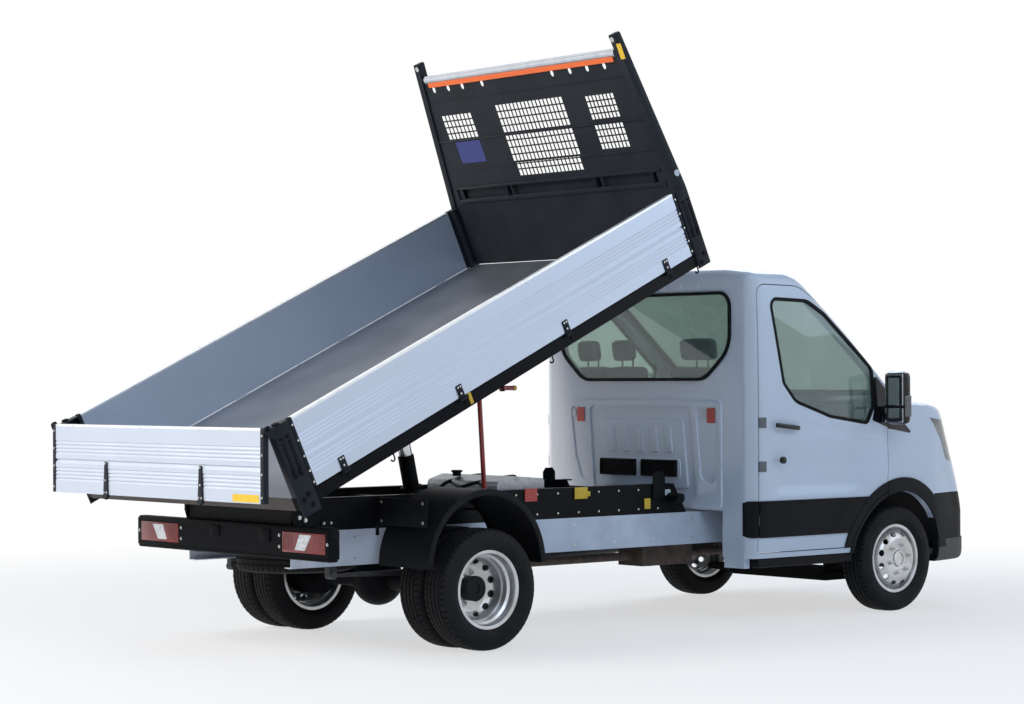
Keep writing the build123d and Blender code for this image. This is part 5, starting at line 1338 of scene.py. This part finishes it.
for y in (-475, 475):
    rows = [(y - 25, GATE_Z - 384, 4), (y + 25, GATE_Z - 384, 4), (y + 12, GATE_Z - 196, 6),
            (y - 12, GATE_Z - 196, 6)]
    strap = prism(rounded(rows), "x", GATE_X - 22, GATE_X - 14)
    fittings.append(finish_with(strap, "BEVEL", width=0.002, segments=2, limit_method="ANGLE"))
    hook_x, hook_z = GATE_X - 18, GATE_Z - 389
    fittings.append(round_bar((hook_x, y - 24, hook_z), (hook_x, y + 24, hook_z), 10, 20))
    fittings.append(slab((GATE_X - 26, y - 9, GATE_Z - 408), (GATE_X - 8, y + 9, GATE_Z - 380), 4))
    gate_rivets += [(GATE_X - 22, y + dy, GATE_Z + w, (-1, 0, 0)) for dy, w in
                    ((0, -206), (0, -300), (-13, -368), (13, -368))]
dressed(smooth(joined(fittings, "tailgate_fittings")), charcoal, "tailgate")
dressed(bolts(gate_rivets, 5, 3.5, "tailgate_rivets"), zinc, "tailgate")
label = slab((GATE_X - 15.6, -1010, GATE_Z - 376), (GATE_X - 14.4, -770, GATE_Z - 336))
dressed(label, yellow_patch, "tailgate").name = "bare_tailgate_label"

# ------------------------------------------------------------------ tipping cylinder and prop
# A telescopic cylinder stands on trunnions between the rails and lifts the bed. Its casing and first stage
# are painted black, the upper stages are chromed, and a red bar with a bored boss at its foot can prop the
# empty bed.
CYLINDER_X, CYLINDER_Z, CYLINDER_LEAN = 268.5, 800.0, 12.5
EYE_Z = 691                 # rod's eye above the trunnions
leaning = lean_back(CYLINDER_X, 0, CYLINDER_Z, CYLINDER_LEAN)
chromed_rod = surface("chromed_rod", (0.5, 0.52, 0.54), 0.16, metal=1.0, mottle=0.08, spots=25)
cast_black = surface("cast_black", (0.006, 0.0065, 0.0075), 0.5, mottle=0.25, spots=30, pits=0.5,
                     pit_size=260, gloss=0.06)


def telescope(z0, z1, radius, bore, material, body, node):
    """One tube of the cylinder, bored from a little above its foot."""
    tube = round_bar((0, 0, z0), (0, 0, z1), radius, 56)
    cut(tube, [round_bar((0, 0, z0 + 12), (0, 0, z1 + 5), bore, 56)])
    finish_with(tube, "BEVEL", width=0.002, segments=2, limit_method="ANGLE")
    tube.data.transform(leaning)
    return dressed(smooth(tube), material, body, [node])


casing = telescope(-330, 85, 57.5, 48.4, cast_black, "cylinder", "cylinder_casing")
casing.name = "cylinder_case"
pivots = [round_bar((0, side * 55, 0), (0, side * 97, 0), 20, 32, 2) for side in (-1, 1)]
collars = [round_bar((0, 0, z0), (0, 0, z1), 64.5, 56, 2) for z0, z1 in ((-24, 24), (66, 84))]
for collar in collars:
    cut(collar, [round_bar((0, 0, -60), (0, 0, 120), 57.4, 56)])
trunnions = joined(pivots + collars, "cylinder_trunnions")
trunnions.data.transform(leaning)
dressed(smooth(trunnions), cast_black, "cylinder")
STROKE = 518.0              # how far the three stages stand out together
outer_stages = ((-310.0, 98.0, 48.0, 40.4, cast_black), (-300.0, 108.0, 40.0, 32.4, chromed_rod))
for i, (foot, top, radius, bore, finish) in enumerate(outer_stages):
    out = STROKE * (i + 1) / 3
    stage = telescope(foot + out, top + out, radius, bore, finish, f"stage_{i + 1}",
                      f"cylinder_stage_{i + 1}")
    stage.name = f"stage_{i + 1}_tube"
rod = round_bar((0, 0, -290 + STROKE), (0, 0, 662), 32, 48)
eye = round_bar((0, -30, EYE_Z), (0, 30, EYE_Z), 35, 48, 3)
cut(eye, [round_bar((0, -40, EYE_Z), (0, 40, EYE_Z), 16, 32)])
rod_end = joined([rod, eye], "stage_3_rod")
rod_end.data.transform(leaning)
dressed(smooth(rod_end), chromed_rod, "stage_3", ["cylinder_stage_3"])
PROP_X, PROP_Y, PROP_Z, PROP_LEAN = 353.0, -555.0, 830.0, 3.75
propped = lean_back(PROP_X, PROP_Y, PROP_Z, PROP_LEAN)
bar = round_bar((0, 0, 14), (0, 0, 704), 14, 28, 2)
boss = round_bar((0, -14, 0), (0, 14, 0), 18, 28, 2)
cut(boss, [round_bar((0, -20, 0), (0, 20, 0), 9, 24)])
prop_bar = joined([bar, boss], "prop_bar")
prop_bar.data.transform(propped)
dressed(smooth(prop_bar), red_paint, "prop", ["safety_prop"])

# ------------------------------------------------------------------ rear mudguards
# Black pressed mudguards arch over the twin wheels, with rolled outer lips, a stiffening sheet
# ahead of the light bar and stays back to the frame.
GUARD_X, GUARD_Z = -25.0, 478.0     # middle of the arches


def about_guard(low, high, radius):
    """Round bar about the middle of a mudguard's arch."""
    return round_bar((GUARD_X, low, GUARD_Z), (GUARD_X, high, GUARD_Z), radius, 96)


guards = []
for side in (-1, 1):
    a, b = off_side(side, 590, 1028)
    arch = about_guard(a, b, 425)
    cut(arch, [about_guard(a - 20, b + 20, 419), plain_box((-480, 420), (a - 30, b + 30), (0, GUARD_Z))])
    guards.append(arch)
    for low, high, inner in ((1023, 1032, 391), (590, 594, 405)):
        a, b = off_side(side, low, high)
        rim = about_guard(a, b, 426)
        cut(rim, [about_guard(a - 20, b + 20, inner), plain_box((-480, 420), (a - 30, b + 30), (0, GUARD_Z))])
        guards.append(finish_with(rim, "BEVEL", width=0.0015, segments=2, limit_method="ANGLE"))
    guards.append(side_slab(side, (-408, -402), (500, 968), (700, 855), 2))
    guards.append(side_slab(side, (-402, -380), (500, 506), (640, 850), 2))
    for x in (-330, 260):
        guards.append(side_slab(side, (x - 20, x + 20), (500, 594), (760, 772), 2))
    a, b = off_side(side, 996, 1000)
    for x in (-418, 362):
        guards.append(slab((x - 10, a - 40, GUARD_Z), (x + 10, b + 24, GUARD_Z + 6), 1))
dressed(smooth(joined(guards, "mudguard_pair")), black_plastic, "chassis",
        ["rear_mudguards"])
guard_bolts = [(-408, side * y, z, (-1, 0, 0)) for side in (-1, 1) for y in (560, 930) for z in (725, 832)]
dressed(bolts(guard_bolts, 8, 5, "mudguard_bolts"), zinc, "chassis")

# ------------------------------------------------------------------ light bar
# A folded black bar across the tail carries two lamp clusters, a small lamp box for the plate
# and bolted brackets.
lamp_red = surface("lamp_red", (0.27, 0.008, 0.009), 0.2, mottle=0.3, spots=60, coat=0.3)
lamp_clear = surface("lamp_clear", (0.78, 0.8, 0.82), 0.12, metal=0.4, mottle=0.35, spots=70, coat=0.6)
LAMP_IN, LAMP_OUT, LAMP_FOOT, LAMP_TOP = 511, 905, 578, 694
BAR_X = -1050               # rear face of the bar
bar = slab((BAR_X, -940, 540), (-988, 940, 724), 10)
cut(bar, [plain_box((BAR_X - 10, -1010), off_side(side, LAMP_IN, LAMP_OUT), (LAMP_FOOT, LAMP_TOP))
          for side in (-1, 1)])
cut(bar, [plain_box((BAR_X - 10, BAR_X + 4), (-560, 560), (560, 566)),
          plain_box((BAR_X - 10, BAR_X + 4), (-936, 936), (552, 555))])
parts = [bar]
for side in (-1, 1):
    parts.append(side_slab(side, (-990, -915), (500, 510), (560, 674), 3))
    parts.append(side_slab(side, (BAR_X + 4, -990), (940, 952), (556, 712), 4))
parts.append(slab((BAR_X - 6, 90, 640), (BAR_X + 10, 190, 700), 4))
parts.append(slab((BAR_X - 8, -400, 628), (BAR_X + 4, -300, 700), 5))
dressed(smooth(joined(parts, "tail_light_bar")), cast_black, "chassis", ["rear_light_bar"])
reds, clears = [], []
for side in (-1, 1):
    body = side_slab(side, (BAR_X - 4, -1011), (LAMP_IN + 1, LAMP_OUT - 1), (LAMP_FOOT + 1, LAMP_TOP - 1), 6)
    rows = [(side * 628, 594, 4), (side * 722, 594, 4), (side * 782, 680, 4), (side * 672, 680, 4)]
    rows = anticlockwise(rows)
    cut(body, [prism(rounded(rows), "x", BAR_X - 10, BAR_X)])
    reds.append(body)
    clears.append(prism(rounded(grown(rows, -0.6)), "x", BAR_X - 3.5, BAR_X + 1))
    for i in range(8):
        y = side * (522 + 12 * i)
        reds.append(plain_box((BAR_X - 5, BAR_X - 3), sorted((y, y + side * 3)), (590, 684)))
dressed(smooth(joined(reds, "tail_lamp_reds")), lamp_red, "chassis", ["tail_lamps"])
dressed(smooth(joined(clears, "tail_lamp_clears")), lamp_clear, "chassis")
bar_bolts = [(BAR_X, side * y, z, (-1, 0, 0)) for side in (-1, 1)
             for y, z in ((484, 606), (484, 668), (923, 636))]
bar_bolts += [(x, side * 510, z, (0, side, 0)) for side in (-1, 1) for x in (-960, -930) for z in (582, 652)]
dressed(bolts(bar_bolts, 7, 5, "light_bar_bolts"), zinc, "chassis")

# ------------------------------------------------------------------ running gear
# Axles, springs, shafts, engine, exhaust, tanks and the spare wheel's hoist keep the solids' own
# shapes; each gets the finish that it wears under a used truck.
cast_metal = surface("cast_metal", (0.055, 0.057, 0.06), 0.55, metal=0.5, mottle=0.3, spots=22, pits=0.5,
                     pit_size=180)
rust_steel = surface("rust_steel", (0.085, 0.058, 0.042), 0.7, metal=0.2, mottle=0.4, spots=18, pits=0.5,
                     pit_size=140, dirt=(0.06, 0.045, 0.04))
galvanized = surface("galvanized_box", (0.42, 0.44, 0.46), 0.4, metal=0.6, mottle=0.2, spots=26)
for name, material in {
        "rear_axle": cast_black, "rear_springs": cast_metal, "propshaft": cast_metal, "exhaust": rust_steel,
        "fuel_tank": black_plastic, "engine_block": cast_metal, "power_pack": galvanized,
        "front_axle": cast_black, "knuckle_right": cast_metal, "knuckle_left": cast_metal,
        "cab_floor": black_steel, "spare_hoist": zinc}.items():
    nodes[name].data.materials.clear()
    nodes[name].data.materials.append(material)
# silencer bands, tank straps, oil filler and hoses on the power pack
bands = [slab((x, -411, 349), (x + 26, -189, 471), 2) for x in (1800, 2100)]
for band in bands:
    cut(band, [plain_box((1700, 2200), (-409.6, -190.4), (350.4, 469.6))])
dressed(joined(bands, "silencer_bands"), rust_steel, "chassis")
straps = []
for x in (1420, 1840):
    strap = slab((x, 498, 382), (x + 34, 753, 643), 6)
    cut(strap, [plain_box((1200, 2000), (490, 750), (385, 640))])
    straps.append(strap)
dressed(smooth(joined(straps, "tank_straps")), black_steel, "chassis")
filler = [round_bar((700, 120, 926), (700, 120, 950), 26, 24, 2),
          round_bar((700, 120, 948), (700, 120, 962), 34, 24, 4)]
dressed(smooth(joined(filler, "oil_filler")), black_plastic, "chassis")
hose_rows = (((930, 150), (900, 150), (640, 120), (520, 90), (380, 75)),
             ((930, -150), (900, -160), (640, -140), (480, -100), (380, -80)))
hose_heights = (905, 925, 895, 850, 820)
HOSE_RADIUS = 11.0
for number, row in enumerate(hose_rows, 1):
    knots = [(x, y, z) for (x, y), z in zip(row, hose_heights)]
    path = []
    for i in range(len(knots) - 1):
        p0, p1 = Vector(knots[max(i - 1, 0)]), Vector(knots[i])
        p2, p3 = Vector(knots[i + 1]), Vector(knots[min(i + 2, len(knots) - 1)])
        for k in range(6):
            t = k / 6
            path.append(0.5 * (2 * p1 + (p2 - p0) * t + (2 * p0 - 5 * p1 + 4 * p2 - p3) * t * t
                               + (3 * p1 - p0 - 3 * p2 + p3) * t ** 3))
    path.append(Vector(knots[-1]))
    lengths = [round_bar(tuple(a), tuple(b), HOSE_RADIUS, 12) for a, b in zip(path, path[1:])]
    tube = joined(lengths, f"hydraulic_hose_{number}")
    dressed(smooth(tube, 60), rubber_seal, "chassis")

# ------------------------------------------------------------------ studio
# Pale flat floor under a plain white background, soft lamps, and the camera low behind the right side.
bpy.context.scene.view_settings.view_transform = "Standard"
bpy.ops.object.select_all(action="DESELECT")
bpy.ops.mesh.primitive_plane_add(size=120, location=(0, 0, -0.0015))
floor = bpy.context.object
floor.name = "studio_floor"


def seen_rays(tree):
    """1 for what the camera sees straight, in a polished face or through glass, and 0 for light."""
    path = added(tree, "LightPath")
    last = path.outputs["Is Camera Ray"]
    for kind in ("Is Glossy Ray", "Is Transmission Ray"):
        either = added(tree, "Math")
        either.operation = "MAXIMUM"
        tree.links.new(last, either.inputs[0])
        tree.links.new(path.outputs[kind], either.inputs[1])
        last = either.outputs["Value"]
    return last


pale, tree, base = new_finish("studio_pale")
base.inputs["Base Color"].default_value = (0.82, 0.82, 0.82, 1)
base.inputs["Roughness"].default_value = 0.8
base.inputs["Specular IOR Level"].default_value = 0.1
white = added(tree, "Emission", Color=(1, 1, 1, 1), Strength=1.0)
place = added(tree, "TexCoord")
reach = added(tree, "VectorMath")
reach.operation = "LENGTH"
fade = added(tree, "MapRange", From_Min=2.5, From_Max=9.0, To_Min=0.62, To_Max=1.0)
fade.interpolation_type = "SMOOTHSTEP"
share = added(tree, "Math")
share.operation = "MULTIPLY"
blend = added(tree, "MixShader")
tree.links.new(place.outputs["Object"], reach.inputs[0])
tree.links.new(reach.outputs["Value"], fade.inputs["Value"])
tree.links.new(fade.outputs["Result"], share.inputs[0])
tree.links.new(seen_rays(tree), share.inputs[1])
tree.links.new(share.outputs["Value"], blend.inputs["Fac"])
tree.links.new(base.outputs["BSDF"], blend.inputs[1])
tree.links.new(white.outputs["Emission"], blend.inputs[2])
tree.links.new(blend.outputs["Shader"], tree.nodes["Material Output"].inputs["Surface"])
floor.data.materials.append(pale)

world = bpy.data.worlds.new("studio_light")
bpy.context.scene.world = world
world.use_nodes = True
tree = world.node_tree
sky = tree.nodes["Background"]
sky.inputs["Color"].default_value = (0.50, 0.70, 1.0, 1)
sky.inputs["Strength"].default_value = 0.34
plain = added(tree, "Background", Color=(1, 1, 1, 1), Strength=1.0)
mixer = added(tree, "MixShader")
tree.links.new(seen_rays(tree), mixer.inputs["Fac"])
tree.links.new(sky.outputs["Background"], mixer.inputs[1])
tree.links.new(plain.outputs["Background"], mixer.inputs[2])
tree.links.new(mixer.outputs["Shader"], tree.nodes["World Output"].inputs["Surface"])

# a warm lamp behind the tailgate stands for the sun, and bluish ones for the open sky at its side
studio_lamps = (("rear_lamp", (-12, 3, 8), (-1, 0, 1.0), 5.0, 1500, (1.0, 0.94, 0.87)),
                ("key_lamp", (-4, -10, 9), (0, 0, 1.0), 6.0, 290, (0.60, 0.76, 1.0)),
                ("side_lamp", (9, -9, 6), (1, 0, 1.2), 6.0, 170, (0.60, 0.77, 1.0)),
                ("front_lamp", (10, 6, 8), (1, 0, 1.2), 6.0, 360, (0.55, 0.74, 1.0)))
for name, place, aim, size, watts, tint in studio_lamps:
    lamp = bpy.data.lights.new(name, "AREA")
    lamp.energy = watts
    lamp.size = size
    lamp.color = tint
    holder = bpy.data.objects.new(name, lamp)
    bpy.context.scene.collection.objects.link(holder)
    holder.location = place
    holder.rotation_euler = (Vector(aim) - Vector(place)).to_track_quat("-Z", "Y").to_euler()

# a long lens, shifted a little off its middle, low behind the truck's right side; the camera's
# place is from the rear axle, and the three directions are its own right, up and back
CAMERA_PLACE = Vector((-9.08317 + REAR_AXLE / 1000, -11.77276, 1.51808))
CAMERA_RIGHT = Vector((0.761865, -0.647723, -0.004174))
CAMERA_UP = Vector((0.003481, -0.002349, 0.999991))
CAMERA_BACK = Vector((-0.647727, -0.761872, 0.000465))
view = bpy.data.cameras.new("camera")
view.sensor_width = 36
view.lens = 89.07
view.shift_x = 0.01418
view.shift_y = 0.0268
view.clip_end = 200
camera = bpy.data.objects.new("camera", view)
bpy.context.scene.collection.objects.link(camera)
turn = Matrix((CAMERA_RIGHT, CAMERA_UP, CAMERA_BACK)).transposed().to_4x4()
camera.matrix_world = Matrix.Translation(CAMERA_PLACE) @ turn
bpy.context.scene.camera = camera
